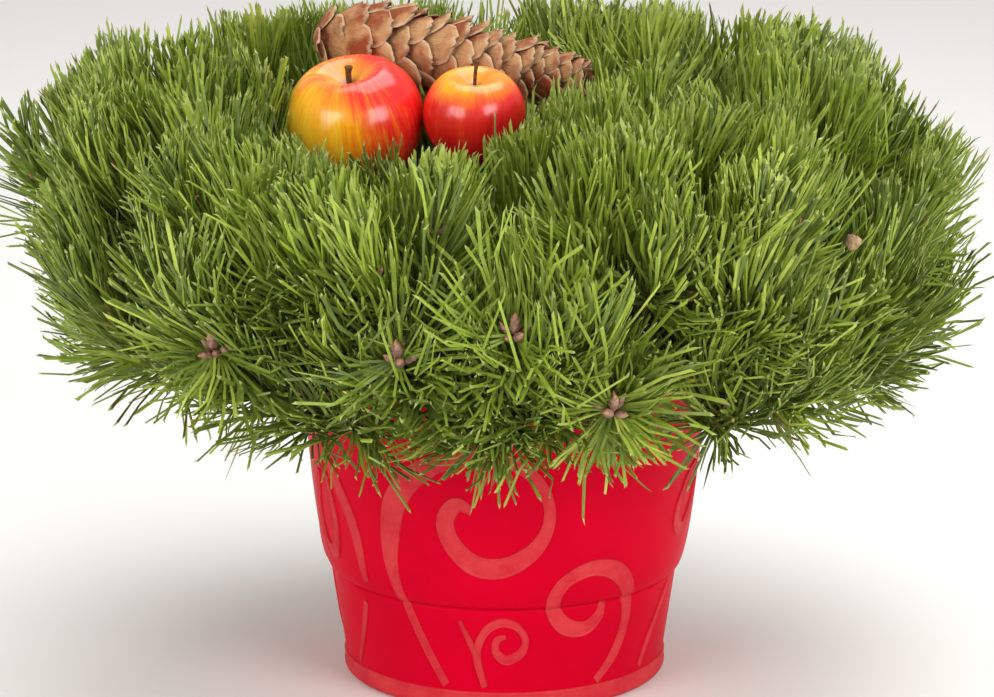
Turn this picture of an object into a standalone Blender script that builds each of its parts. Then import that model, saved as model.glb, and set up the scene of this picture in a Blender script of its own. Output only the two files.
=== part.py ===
# A young pine with a wide, low crown in a round glazed pot, with two apples and a long cone laid on top.
# Metres, +Z up. The origin is the middle of the pot's flat underside, and the front faces -Y.

import math

import bmesh
import bpy
from mathutils import Matrix, Vector, noise

COLLECTION = "potted_pine"
GAP = 0.0003  # clearance between solids that touch

# Pot
POT_SEGMENTS = 40
POT_HEIGHT = 0.180
POT_WALL = 0.006
RIM_RADIUS = 0.110
LIP_ROUNDING = 0.0022
SEAM_HEIGHT = 0.059  # the groove between the round belly and the lower cone
SEAM_RADIUS = 0.093
SEAM_WIDTH = 0.0016
SEAM_DEPTH = 0.0012
RING_HEIGHT = 0.011  # the raised ring round the foot
RING_RADIUS = 0.0868
RING_STEP = 0.0009
FOOT_ROUNDING = 0.004
FLOOR_THICKNESS = 0.008
SOIL_HEIGHT = 0.164

# Stem
STEM_TOP = 0.242
STEM_RADIUS = 0.0118
STEM_TIP_RADIUS = 0.0085
FLARE_RADIUS = 0.020
FLARE_HEIGHT = 0.005
STEM_LEAN = 0.003

# Boughs
BOUGH_STRAIGHT = 0.012  # the straight stretch at each end of a bough

# Crown, as the outline that its needle tips reach
CROWN_RADIUS = 0.266
CROWN_MIDDLE = 0.236
CROWN_RISE = 0.108
CROWN_DROP = 0.104
CROWN_SIDE_DROP = 0.010  # hangs lower on the left
CROWN_BACK_DROP = 0.012
CROWN_FRONT_LIFT = 0.028  # and is lifted at the front, where the pot shows
RIGHT_DIP = 0.036  # how far the top falls away at the far right
RIGHT_DIP_SPAN = (0.70, 0.86)  # from where to where, as shares of the radius
BACK_DIP = 0.014
BACK_DIP_SPAN = (0.15, 0.65)
SHOULDER_POWER = 4.0
SKIRT_POWER = 4.0
SKIRT_TAPER = 0.14  # how much narrower the crown is at its lower edge
SKIRT_TAPER_SIDE = 0.05  # more on the left, less on the right
HOLLOW_AT = Vector((-0.050, -0.075))  # the dip in front of the apples
HOLLOW_DEPTH = 0.054
HOLLOW_WIDTH = 0.085
TUFT_SIZE = 0.034
TUFT_DEPTH = 0.26  # how uneven a mass's skin is, as a share of its reach
CLEFT_POWER = 11.0  # lower opens wider clefts between the masses
CROWN_SWELL = 1.025
PLANE_STEPS = 30

# The whorls of boughs, lowest first, each bough carrying one mass of needles
WHORLS = (
    {
        "tier": "low",
        "count": 8,
        "turn": 278.0,
        "forks": (0.1885, 0.2003),
        "reach": 0.196,
        "height": 0.203,
        "seat": 0.064,
        "base": 0.0046,
        "tip": 0.0030,
    },
    {
        "tier": "high",
        "count": 6,
        "turn": 302.0,
        "forks": (0.2120, 0.2230),
        "reach": 0.166,
        "height": 0.277,
        "seat": 0.058,
        "base": 0.0043,
        "tip": 0.0028,
    },
    {
        "tier": "top",
        "count": 4,
        "turn": 288.0,
        "forks": (0.2345, 0.2345),
        "reach": 0.062,
        "height": 0.262,
        "seat": 0.030,
        "base": 0.0036,
        "tip": 0.0026,
    },
)
SIDES = ("right", "back_right", "back", "back_left", "left", "front_left", "front", "front_right")

# Fruit on the crown
APPLE_SEGMENTS = 16
APPLE_STEPS = 9
APPLES = (
    {"name": "apple_large", "at": (-0.0790, 0.0030, 0.3020), "radius": 0.0368, "tilt": (12.0, -9.0)},
    {"name": "apple_small", "at": (-0.0158, -0.0100, 0.3075), "radius": 0.0272, "tilt": (10.0, 0.0)},
)
CONE_FAT_END = Vector((-0.101, 0.064, 0.334))
CONE_THIN_END = Vector((0.047, 0.036, 0.316))
CONE_RADIUS = 0.0225
CONE_SEGMENTS = 14
CONE_STEPS = 8


def clear_scene():
    for obj in list(bpy.data.objects):
        bpy.data.objects.remove(obj, do_unlink=True)


def parts_collection():
    collection = bpy.data.collections.new(COLLECTION)
    bpy.context.scene.collection.children.link(collection)
    return collection


def principled(name, colour, roughness):
    material = bpy.data.materials.new(name)
    material.use_nodes = True
    shader = material.node_tree.nodes["Principled BSDF"]
    shader.inputs["Base Color"].default_value = (*colour, 1.0)
    shader.inputs["Roughness"].default_value = roughness
    shader.inputs["Metallic"].default_value = 0.0
    material.diffuse_color = (*colour, 1.0)
    return material


def add_object(collection, name, data, material):
    obj = bpy.data.objects.new(name, data)
    collection.objects.link(obj)
    data.materials.append(material)
    return obj


def turned(collection, name, profile, segments, material):
    """A turned piece. The profile is (radius, height) points that run down the outer side."""
    mesh = bpy.data.meshes.new(name)
    points = [(radius, 0.0, height) for radius, height in profile]
    edges = [(i, i + 1) for i in range(len(points) - 1)]
    mesh.from_pydata(points, edges, [])
    obj = add_object(collection, name, mesh, material)
    screw = obj.modifiers.new("turned", "SCREW")
    screw.axis = "Z"
    screw.angle = math.tau
    screw.steps = segments
    screw.render_steps = segments
    screw.use_merge_vertices = True
    screw.merge_threshold = 0.00005
    screw.use_smooth_shade = True
    return obj


def tapered_limb(collection, name, points, radii, sides_per_half, material):
    """A limb with flat cut ends, along straight stretches between its points."""
    curve = bpy.data.curves.new(name, "CURVE")
    curve.dimensions = "3D"
    curve.bevel_depth = 1.0
    curve.bevel_resolution = sides_per_half - 2
    curve.use_fill_caps = True
    spline = curve.splines.new("POLY")
    spline.points.add(len(points) - 1)
    for knot, point, radius in zip(spline.points, points, radii):
        knot.co = (*point, 1.0)
        knot.radius = radius
    return add_object(collection, name, curve, material)


def pot_radius(height):
    """The pot's outer radius: a cone up to the seam, then a belly that swells fast and flattens."""
    if height < SEAM_HEIGHT:
        share = (height - RING_HEIGHT) / (SEAM_HEIGHT - RING_HEIGHT)
        low = RING_RADIUS - RING_STEP
        return low + (SEAM_RADIUS - low) * max(share, 0.0)
    share = (height - SEAM_HEIGHT) / (POT_HEIGHT - SEAM_HEIGHT)
    return SEAM_RADIUS + (RIM_RADIUS - SEAM_RADIUS) * math.sqrt(min(share, 1.0))


def inner_heights():
    """Heights at which the pot's inner wall and the soil's side have a point, lowest first."""
    belly = POT_HEIGHT - SEAM_HEIGHT
    return [FLOOR_THICKNESS, SEAM_HEIGHT, SEAM_HEIGHT + 0.25 * belly, SOIL_HEIGHT]


def pot(collection, material):
    lip_low = POT_HEIGHT - LIP_ROUNDING
    profile = [(0.0, FLOOR_THICKNESS)]
    profile += [(pot_radius(height) - POT_WALL, height) for height in inner_heights()]
    profile += [
        (RIM_RADIUS - POT_WALL, lip_low),
        (RIM_RADIUS - POT_WALL + LIP_ROUNDING, POT_HEIGHT),
        (RIM_RADIUS - LIP_ROUNDING, POT_HEIGHT),
        (RIM_RADIUS, lip_low),
    ]
    for share in (0.62, 0.34, 0.14):
        height = SEAM_HEIGHT + share * (POT_HEIGHT - SEAM_HEIGHT)
        profile.append((pot_radius(height), height))
    profile += [
        (SEAM_RADIUS + 0.0015, SEAM_HEIGHT + SEAM_WIDTH / 2),
        (SEAM_RADIUS - SEAM_DEPTH, SEAM_HEIGHT),
        (SEAM_RADIUS, SEAM_HEIGHT - SEAM_WIDTH / 2),
        (RING_RADIUS - RING_STEP, RING_HEIGHT),
        (RING_RADIUS, RING_HEIGHT - RING_STEP),
    ]
    for angle in (0.0, 45.0, 90.0):
        turn = math.radians(angle)
        radius = RING_RADIUS - FOOT_ROUNDING * (1.0 - math.cos(turn))
        profile.append((radius, FOOT_ROUNDING * (1.0 - math.sin(turn))))
    profile.append((0.0, 0.0))
    return turned(collection, "pot", profile, POT_SEGMENTS, material)


def soil(collection, material):
    side = [(pot_radius(height) - POT_WALL - GAP, height) for height in inner_heights()]
    side[0] = (side[0][0], FLOOR_THICKNESS + GAP)
    profile = [(0.0, SOIL_HEIGHT)] + side[::-1] + [(0.0, FLOOR_THICKNESS + GAP)]
    return turned(collection, "soil", profile, POT_SEGMENTS, material)


def stem_radius(height):
    share = (height - SOIL_HEIGHT) / (STEM_TOP - SOIL_HEIGHT)
    flare = (FLARE_RADIUS - STEM_RADIUS) * math.exp(-(height - SOIL_HEIGHT) / FLARE_HEIGHT)
    return STEM_RADIUS + (STEM_TIP_RADIUS - STEM_RADIUS) * share + flare


def stem_centre(height):
    share = (height - SOIL_HEIGHT) / (STEM_TOP - SOIL_HEIGHT)
    return Vector((STEM_LEAN * share * share, 0.0, height))


def stem(collection, material):
    foot = SOIL_HEIGHT + GAP
    heights = [foot, foot + 0.003, foot + 0.007, foot + 0.014, 0.196, 0.218, STEM_TOP]
    points = [stem_centre(height) for height in heights]
    points[0].x = points[1].x
    radii = [stem_radius(height) for height in heights]
    return tapered_limb(collection, "stem", points, radii, 6, material)


def side_name(azimuth):
    return SIDES[round(azimuth / 45.0) % 8]


def mass_places():
    """Each mass of needles with its centre and the bough that carries it."""
    places = []
    for whorl in WHORLS:
        for index in range(whorl["count"]):
            azimuth = (whorl["turn"] + index * 360.0 / whorl["count"]) % 360.0
            turn = math.radians(azimuth)
            outward = Vector((math.cos(turn), math.sin(turn), 0.0))
            places.append(
                {
                    "name": f"{whorl['tier']}_{side_name(azimuth)}",
                    "outward": outward,
                    "centre": outward * whorl["reach"] + Vector((0.0, 0.0, whorl["height"])),
                    "fork": whorl["forks"][index % 2],
                    "whorl": whorl,
                }
            )
    return places


def bough(collection, place, material):
    """One limb from the stem's side to the foot of its mass, straight at both ends and bent between."""
    whorl = place["whorl"]
    outward = place["outward"]
    root = stem_centre(place["fork"]) + outward * (stem_radius(place["fork"] - whorl["base"]) + GAP)
    inward = (root - place["centre"]).normalized()
    tip = place["centre"] + inward * whorl["seat"]
    straight = min(BOUGH_STRAIGHT, (tip - root).length / 3.0)
    bend_start = root + outward * straight
    bend_end = tip + inward * straight
    handle = (bend_end - bend_start).length / 3.0
    corners = (bend_start, bend_start + outward * handle, bend_end + inward * handle, bend_end)
    points = [root]
    for share in (0.0, 0.36, 0.68, 1.0):
        rest = 1.0 - share
        weights = (rest**3, 3 * rest**2 * share, 3 * rest * share**2, share**3)
        points.append(sum((corner * weight for corner, weight in zip(corners, weights)), Vector()))
    points.append(tip)
    last = len(points) - 1
    radii = [whorl["base"] + (whorl["tip"] - whorl["base"]) * i / last for i in range(last + 1)]
    return tapered_limb(collection, f"bough_{place['name']}", points, radii, 4, material)


def apple(collection, fruit, material):
    """A turned apple: broad shoulders, a deep hollow at its stem and a shallow one below."""
    radius = fruit["radius"]
    profile = []
    for step in range(APPLE_STEPS + 1):
        angle = math.pi * step / APPLE_STEPS
        top_hollow = 0.24 * math.exp(-((angle / 0.48) ** 2))
        low_hollow = 0.15 * math.exp(-(((math.pi - angle) / 0.34) ** 2))
        height = radius * (math.cos(angle) - top_hollow + low_hollow)
        width = radius * math.sin(angle) * (1.0 + 0.05 * math.cos(angle))
        profile.append((max(width, 0.0) if 0 < step < APPLE_STEPS else 0.0, height))
    obj = turned(collection, fruit["name"], profile, APPLE_SEGMENTS, material)
    obj.location = fruit["at"]
    obj.rotation_euler = [math.radians(angle) for angle in (*fruit["tilt"], 0.0)]
    return obj


def cone(collection, material):
    """The long cone's outline: a blunt fat end, then a slow taper."""
    axis = CONE_THIN_END - CONE_FAT_END
    profile = [(0.0, 0.0)]
    for step in range(CONE_STEPS + 1):
        share = step / CONE_STEPS
        blunt = math.sqrt(1.0 - (1.0 - min(share / 0.22, 1.0)) ** 2 * 0.72)
        profile.append((CONE_RADIUS * blunt * (1.0 - 0.68 * share**1.5), -axis.length * share))
    profile.append((0.0, -axis.length))
    obj = turned(collection, "cone", profile, CONE_SEGMENTS, material)
    obj.location = CONE_FAT_END
    obj.rotation_euler = axis.to_track_quat("-Z", "Y").to_euler()
    return obj


def world_points(obj):
    """The corners of an object's finished surface, in world coordinates."""
    graph = bpy.context.evaluated_depsgraph_get()
    evaluated = obj.evaluated_get(graph)
    mesh = evaluated.to_mesh()
    points = [evaluated.matrix_world @ vertex.co for vertex in mesh.vertices]
    evaluated.to_mesh_clear()
    return points


def eased(value, span):
    """0 before a span, 1 after it, smooth between."""
    share = min(max((value - span[0]) / (span[1] - span[0]), 0.0), 1.0)
    return share * share * (3.0 - 2.0 * share)


def beyond_crown(point):
    """Positive outside the outline that the needle tips reach, and negative inside it."""
    across = math.hypot(point.x, point.y)
    spread = across / CROWN_RADIUS
    if point.z > CROWN_MIDDLE:
        apart = (point.xy - HOLLOW_AT).length / HOLLOW_WIDTH
        rise = CROWN_RISE - HOLLOW_DEPTH * math.exp(-(apart**2))
        rise -= RIGHT_DIP * eased(point.x / CROWN_RADIUS, RIGHT_DIP_SPAN)
        rise -= BACK_DIP * eased(point.y / CROWN_RADIUS, BACK_DIP_SPAN)
        return spread**SHOULDER_POWER + ((point.z - CROWN_MIDDLE) / rise) ** SHOULDER_POWER - 1.0
    rightward = point.x / max(across, GAP)
    backward = point.y / max(across, GAP)
    drop = CROWN_DROP - CROWN_SIDE_DROP * rightward
    drop += CROWN_BACK_DROP * max(backward, 0.0) + CROWN_FRONT_LIFT * min(backward, 0.0)
    lowered = (CROWN_MIDDLE - point.z) / drop
    narrowed = 1.0 - (SKIRT_TAPER - SKIRT_TAPER_SIDE * rightward) * min(lowered, 1.0)
    return (spread / narrowed) ** SKIRT_POWER + lowered**SKIRT_POWER - 1.0


def reach_to_outline(centre, direction):
    """How far the crown's outline lies from a mass's centre in one direction, found by halving."""
    near, far = 0.0, 2.0 * CROWN_RADIUS
    for _ in range(24):
        middle = (near + far) / 2.0
        if beyond_crown(centre + direction * middle) > 0.0:
            far = middle
        else:
            near = middle
    return near


def plane_before(centre, points):
    """The flat limit that stands best between a mass's centre and a neighbour: its direction and distance."""
    offsets = [point - centre for point in points]
    closest = min(offsets, key=lambda offset: offset.length)
    for _ in range(PLANE_STEPS):
        support = min(offsets, key=lambda offset: offset.dot(closest))
        along = support - closest
        if along.length_squared == 0.0:
            break
        closest = closest + along * min(max(-closest.dot(along) / along.length_squared, 0.0), 1.0)
    towards = closest.normalized()
    return towards, min(offset.dot(towards) for offset in offsets) - GAP


def plane_over_rim(place):
    """The slanting limit that keeps a mass clear of the pot's rim and wall."""
    towards = -(place["outward"] + Vector((0.0, 0.0, 1.0))).normalized()
    rim = place["outward"] * RIM_RADIUS + Vector((0.0, 0.0, POT_HEIGHT))
    return towards, (rim - place["centre"]).dot(towards) - GAP


def mass_of_needles(collection, place, places, solids, material):
    """One uneven mass: it reaches the crown's outline and stops short of all that it lies against."""
    centre = place["centre"]
    shared = []
    for other in places:
        if other is not place:
            across = other["centre"] - centre
            shared.append((across.normalized(), across.length / 2.0 - GAP / 2.0))
    hard = [plane_before(centre, points) for points in solids]
    if place["whorl"]["tier"] != "top":
        hard.append(plane_over_rim(place))

    shape = bmesh.new()
    bmesh.ops.create_icosphere(shape, subdivisions=3, radius=1.0)
    turn = Matrix.Rotation(math.atan2(place["outward"].y, place["outward"].x), 3, "Z")
    for vertex in shape.verts:
        direction = (turn @ vertex.co).normalized()
        outline = reach_to_outline(centre, direction) * CROWN_SWELL
        tufts = noise.noise((centre + direction * outline) / TUFT_SIZE)
        outline *= 1.0 + TUFT_DEPTH * min(tufts, 0.0)
        soft = outline**-CLEFT_POWER
        for towards, distance in shared:
            lean = direction.dot(towards)
            if lean > 0.0:
                soft += (lean / distance) ** CLEFT_POWER
        radius = soft ** (-1.0 / CLEFT_POWER)
        for towards, distance in hard:
            lean = direction.dot(towards)
            if lean > 0.0:
                radius = min(radius, distance / lean)
        vertex.co = direction * radius
    mesh = bpy.data.meshes.new(f"needles_{place['name']}")
    shape.to_mesh(mesh)
    shape.free()
    mesh.shade_smooth()
    obj = add_object(collection, mesh.name, mesh, material)
    obj.location = centre
    return obj


def build():
    clear_scene()
    collection = parts_collection()
    glaze = principled("red_glaze", (0.55, 0.006, 0.02), 0.2)
    earth = principled("potting_soil", (0.05, 0.032, 0.02), 0.95)
    bark = principled("grey_brown_bark", (0.16, 0.11, 0.075), 0.85)
    green = principled("pine_needles", (0.13, 0.26, 0.05), 0.6)
    peel = principled("apple_peel", (0.6, 0.04, 0.02), 0.3)
    scales = principled("cone_scales", (0.22, 0.10, 0.05), 0.7)

    pot(collection, glaze)
    soil(collection, earth)
    places = mass_places()
    carried = [stem(collection, bark)]
    carried += [bough(collection, place, bark) for place in places]
    carried += [apple(collection, fruit, peel) for fruit in APPLES]
    carried.append(cone(collection, scales))
    bpy.context.view_layer.update()
    solids = [world_points(obj) for obj in carried]
    for place in places:
        mass_of_needles(collection, place, places, solids, green)


build()
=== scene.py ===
# Studio scene of a young pine in a red glazed pot, with two apples and a long cone lying on its crown
import math
import random

import bmesh
import bpy
import numpy as np
from mathutils import Euler, Matrix, Vector
from mathutils.bvhtree import BVHTree


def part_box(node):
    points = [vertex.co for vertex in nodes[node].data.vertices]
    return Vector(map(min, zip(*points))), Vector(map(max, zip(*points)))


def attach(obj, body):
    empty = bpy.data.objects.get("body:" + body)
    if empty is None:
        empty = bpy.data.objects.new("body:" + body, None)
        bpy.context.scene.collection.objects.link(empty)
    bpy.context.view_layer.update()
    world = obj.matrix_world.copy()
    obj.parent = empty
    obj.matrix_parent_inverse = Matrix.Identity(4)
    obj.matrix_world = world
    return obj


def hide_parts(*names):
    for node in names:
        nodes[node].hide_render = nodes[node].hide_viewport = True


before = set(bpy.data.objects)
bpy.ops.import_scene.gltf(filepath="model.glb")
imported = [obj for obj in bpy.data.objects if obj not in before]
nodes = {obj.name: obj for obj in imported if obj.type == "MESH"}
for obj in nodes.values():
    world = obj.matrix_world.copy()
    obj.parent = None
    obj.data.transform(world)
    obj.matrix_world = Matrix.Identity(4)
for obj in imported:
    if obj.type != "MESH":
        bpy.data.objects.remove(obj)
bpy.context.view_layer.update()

up = Vector((0.0, 0.0, 1.0))
goldenTurn = math.pi * (3.0 - math.sqrt(5.0))
print("frame loaded with", len(nodes), "nodes")


class Graph:  # one node tree, for a material or for Geometry Nodes
    def __init__(self, tree):
        self.tree = tree

    def add(self, kind, settings=None, values=None, output=0):
        node = self.tree.nodes.new(kind)
        for name, value in (settings or {}).items():
            if name == "stops":
                self.setStops(node.color_ramp.elements, value)
            else:
                setattr(node, name, value)
        for key, value in (values or {}).items():
            if isinstance(value, Wire):
                self.tree.links.new(value.socket, node.inputs[key])
            else:
                node.inputs[key].default_value = value
        return Wire(self, node.outputs[output]) if len(node.outputs) else None

    def setStops(self, elements, stops):
        for place, colour in stops[1:-1]:
            elements.new(place).color = colour
        for element, (place, colour) in ((elements[0], stops[0]), (elements[-1], stops[-1])):
            element.position = place
            element.color = colour

    def attribute(self, name, kind="FLOAT"):
        return self.add("GeometryNodeInputNamedAttribute", {"data_type": kind}, {"Name": name})

    def chance(self, low, high, seed, part):
        # a random number for each element, which stays the same each run
        settings = {"data_type": "FLOAT"}
        return self.add("FunctionNodeRandomValue", settings, {2: low, 3: high, "Seed": seed + part}, 1)


class Wire:  # a node's output, which can stand in a sum
    def __init__(self, graph, socket):
        self.graph = graph
        self.socket = socket

    def output(self, name):
        return Wire(self.graph, self.socket.node.outputs[name])

    def maths(self, operation, first, second=0.0):
        return self.graph.add("ShaderNodeMath", {"operation": operation}, {0: first, 1: second})

    def __add__(self, other):
        return self.maths("ADD", self, other)

    def __radd__(self, other):
        return self.maths("ADD", other, self)

    def __sub__(self, other):
        return self.maths("SUBTRACT", self, other)

    def __rsub__(self, other):
        return self.maths("SUBTRACT", other, self)

    def __mul__(self, other):
        return self.maths("MULTIPLY", self, other)

    def __rmul__(self, other):
        return self.maths("MULTIPLY", other, self)

    def __truediv__(self, other):
        return self.maths("DIVIDE", self, other)

    def __rtruediv__(self, other):
        return self.maths("DIVIDE", other, self)

    def __pow__(self, other):
        return self.maths("POWER", self, other)

    def __rpow__(self, other):
        return self.maths("POWER", other, self)


def paint(red, green, blue):
    # a colour as a screen shows it, 0 to 255, turned into linear light
    return tuple((level / 255.0) ** 2.2 for level in (red, green, blue)) + (1.0,)


def newMaterial(name, roughness, **sockets):
    material = bpy.data.materials.new(name)
    material.use_nodes = True
    shader = material.node_tree.nodes["Principled BSDF"]
    shader.inputs["Roughness"].default_value = roughness
    for socket, value in sockets.items():
        shader.inputs[socket.replace("_", " ")].default_value = value
    return material, Graph(material.node_tree), shader


def feed(wire, shader, socket):
    wire.graph.tree.links.new(wire.socket, shader.inputs[socket])


def objectPlace(graph, centre=(0.0, 0.0, 0.0), turn=(0.0, 0.0, 0.0), scale=(1.0, 1.0, 1.0)):
    place = graph.add("ShaderNodeTexCoord", output="Object")
    moved = graph.add("ShaderNodeVectorMath", {"operation": "SUBTRACT"}, {0: place, 1: centre})
    return graph.add("ShaderNodeMapping", {}, {"Vector": moved, "Rotation": turn, "Scale": scale})


def speckle(graph, place, scale, detail=3.0, roughness=0.6):
    values = {"Vector": place, "Scale": scale, "Detail": detail, "Roughness": roughness}
    return graph.add("ShaderNodeTexNoise", {}, values)


def blendColours(graph, share, first, second, way="MIX"):
    settings = {"data_type": "RGBA", "blend_type": way}
    return graph.add("ShaderNodeMix", settings, {0: share, 6: first, 7: second}, output=2)


def bump(graph, shader, height, depth, strength=1.0):
    values = {"Height": height, "Distance": depth, "Strength": strength}
    feed(graph.add("ShaderNodeBump", {}, values), shader, "Normal")


def ease(wire, low, high):
    # 0 below low, 1 above high, smooth between them
    values = {"Value": wire, "From Min": low, "From Max": high}
    return wire.graph.add("ShaderNodeMapRange", {"interpolation_type": "SMOOTHSTEP"}, values)


def newObject(name, mesh, material=None):
    made = bpy.data.objects.new(name, mesh)
    bpy.context.scene.collection.objects.link(made)
    if material:
        mesh.materials.clear()
        mesh.materials.append(material)
    return made


def meshOf(name, points, edges=(), faces=()):
    mesh = bpy.data.meshes.new(name)
    mesh.from_pydata([tuple(point) for point in points], list(edges), list(faces))
    mesh.update()
    return mesh


def storeFloats(mesh, name, values):
    mesh.attributes.new(name, "FLOAT", "POINT").data.foreach_set("value", np.asarray(values, np.float32))


def storeVectors(mesh, name, values):
    flat = np.asarray([tuple(value) for value in values], np.float32).ravel()
    mesh.attributes.new(name, "FLOAT_VECTOR", "POINT").data.foreach_set("vector", flat)


def newTree(name, sockets):
    # a Geometry Nodes tree and a wire for each of its inputs
    tree = bpy.data.node_groups.new(name, "GeometryNodeTree")
    tree.interface.new_socket("Geometry", in_out="INPUT", socket_type="NodeSocketGeometry")
    for socketName, kind, value in sockets:
        socket = tree.interface.new_socket(socketName, in_out="INPUT", socket_type=kind)
        if value is not None:
            socket.default_value = value
    tree.interface.new_socket("Geometry", in_out="OUTPUT", socket_type="NodeSocketGeometry")
    graph = Graph(tree)
    entry = graph.add("NodeGroupInput")
    return graph, {socket.name: Wire(graph, socket) for socket in entry.socket.node.outputs if socket.name}


def closeTree(graph, geometry, material):
    solid = graph.add("GeometryNodeRealizeInstances", {}, {"Geometry": geometry})
    dressed = graph.add("GeometryNodeSetMaterial", {}, {"Geometry": solid, "Material": material})
    graph.add("NodeGroupOutput", {}, {"Geometry": dressed})
    return graph.tree


def runTree(tree, mesh, inputs):
    # runs a Geometry Nodes tree on a mesh and gives the plain mesh that comes out
    source = newObject("source", mesh)
    modifier = source.modifiers.new("nodes", "NODES")
    modifier.node_group = tree
    for item in tree.interface.items_tree:
        if item.in_out == "INPUT" and item.name in inputs:
            modifier[item.identifier] = inputs[item.name]
    evaluated = source.evaluated_get(bpy.context.evaluated_depsgraph_get())
    made = bpy.data.meshes.new_from_object(evaluated)
    source.modifiers.remove(modifier)
    bpy.data.objects.remove(source)
    return made


def joinMeshes(name, meshes):
    joined = bmesh.new()
    for mesh in meshes:
        joined.from_mesh(mesh)
    made = bpy.data.meshes.new(name)
    joined.to_mesh(made)
    joined.free()
    return made


def facingOut(mesh):
    shape = bmesh.new()
    shape.from_mesh(mesh)
    bmesh.ops.recalc_face_normals(shape, faces=shape.faces)
    shape.to_mesh(mesh)
    shape.free()
    return mesh


def finishPiece(name, mesh, material, replaced=()):
    piece = newObject(name, mesh, material)
    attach(piece, "root")
    if replaced:
        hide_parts(*replaced)
    mesh.calc_loop_triangles()
    print("  piece", name, "with", len(mesh.loop_triangles), "triangles")
    return piece


def aroundAxis(radius, height, turn):
    return (radius * math.cos(turn), radius * math.sin(turn), height)


def turnedMesh(name, profile, segments, placeAt=aroundAxis):
    # turns (radius, height) points, from the top down the outer side; ends on the axis are single points
    rings = []
    points = []
    for radius, height in profile:
        if radius < 1e-6:
            rings.append([len(points)] * segments)
            points.append(placeAt(radius, height, 0.0))
            continue
        rings.append(list(range(len(points), len(points) + segments)))
        points += [placeAt(radius, height, math.tau * index / segments) for index in range(segments)]
    faces = []
    for above, below in zip(rings, rings[1:]):
        for index in range(segments):
            after = (index + 1) % segments
            corners = (above[index], below[index], below[after], above[after])
            faces.append(tuple(dict.fromkeys(corners)))
    mesh = meshOf(name, points, (), faces)
    mesh.shade_smooth()
    return mesh


# Camera: the photo's height and distance, and where a pixel of it looks
photoView = {
    "size": (994, 697),
    "lens": 229.5,
    "sensor": 36.0,
    "distance": 3.4,
    "elevation": math.radians(15.4),
    "aim": Vector((-0.004, 0.0, 0.1767)),
}
lookDown = photoView["elevation"]
viewAhead = Vector((0.0, math.cos(lookDown), -math.sin(lookDown)))
viewUp = Vector((0.0, math.sin(lookDown), math.cos(lookDown)))
cameraPlace = photoView["aim"] - viewAhead * photoView["distance"]


def sightLine(pixel):
    # the direction in which the camera sees a pixel of the photo
    width, height = photoView["size"]
    pitch = photoView["sensor"] / photoView["lens"] / width
    across = (pixel[0] - width / 2) * pitch
    rise = (height / 2 - pixel[1]) * pitch
    return (viewAhead + viewUp * rise + Vector((across, 0.0, 0.0))).normalized()


# Pot
potShape = {
    "height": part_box("pot")[1].z,
    "rim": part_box("pot")[1].x,
    "wall": 0.006,
    "lip": 0.0022,
    "seamHeight": 0.059,
    "seamRadius": 0.093,
    "seamWidth": 0.0009,
    "seamDepth": 0.0011,
    "seamFlare": 0.0012,
    "ringHeight": 0.011,
    "ringRadius": 0.0868,
    "ringStep": 0.0009,
    "footRound": 0.004,
    "floor": 0.008,
    "floorRadius": 0.07,
    "floorRound": 0.004,
    "bellySteps": 30,
    "segments": 200,
}


def wallRadius(height):
    shape = potShape
    low = shape["ringRadius"] - shape["ringStep"]
    if height < shape["seamHeight"]:
        share = (height - shape["ringHeight"]) / (shape["seamHeight"] - shape["ringHeight"])
        return low + (shape["seamRadius"] - low) * max(share, 0.0)
    share = (height - shape["seamHeight"]) / (shape["height"] - shape["seamHeight"])
    return shape["seamRadius"] + (shape["rim"] - shape["seamRadius"]) * math.sqrt(min(share, 1.0))


def potProfile():
    # from the middle of the floor up the inside, over the lip and down the outside to the foot ring
    shape = potShape
    lip, seam = shape["lip"], shape["seamHeight"]
    halfWall = shape["wall"] / 2
    middle = shape["rim"] - halfWall
    profile = [(0.0, shape["floor"]), (shape["floorRadius"], shape["floor"])]
    innerFoot = shape["floor"] + shape["floorRound"]
    for step in range(9):
        height = innerFoot + (shape["height"] - lip - innerFoot) * step / 8
        profile.append((wallRadius(height) - shape["wall"], height))
    for step in range(1, 12):
        turn = math.pi * (1.0 - step / 12)
        profile.append((middle + halfWall * math.cos(turn), shape["height"] - lip + lip * math.sin(turn)))
    for step in range(shape["bellySteps"]):
        # finer near the seam, where the belly turns in fastest
        share = (1.0 - step / shape["bellySteps"]) ** 2
        height = seam + share * (shape["height"] - lip - seam)
        if height > seam + 1.6 * shape["seamWidth"]:
            profile.append((wallRadius(height), height))
    for offset, depth in ((1.2, 0.0), (0.5, 0.7), (0.0, 1.0), (-0.5, 0.7), (-1.0, 0.12), (-1.6, 0.0)):
        height = seam + offset * shape["seamWidth"]
        radius = wallRadius(height) if offset < 0.0 else shape["seamRadius"] + shape["seamFlare"] * offset
        profile.append((radius - depth * shape["seamDepth"], height))
    lowTop = seam - 0.002
    for step in range(1, 9):
        height = lowTop - (lowTop - shape["ringHeight"]) * step / 8
        profile.append((wallRadius(height), height))
    return profile


def ringProfile():
    # the matte ring round the foot, from its upper edge down to the flat underside
    shape = potShape
    radius = shape["ringRadius"]
    edge = shape["ringHeight"]
    profile = [
        (radius - shape["ringStep"], edge),
        (radius - 0.0002, edge - 0.0002),
        (radius, edge - 0.0009),
        (radius - 0.0004, edge - 0.0019),
        (radius - 0.0004, edge - 0.0026),
    ]
    for step in range(7):
        turn = math.radians(90.0 * step / 6)
        inset = shape["footRound"] * (1.0 - math.cos(turn))
        profile.append((radius - inset, shape["footRound"] * (1.0 - math.sin(turn))))
    profile.append((0.0, 0.0))
    return profile


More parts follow.
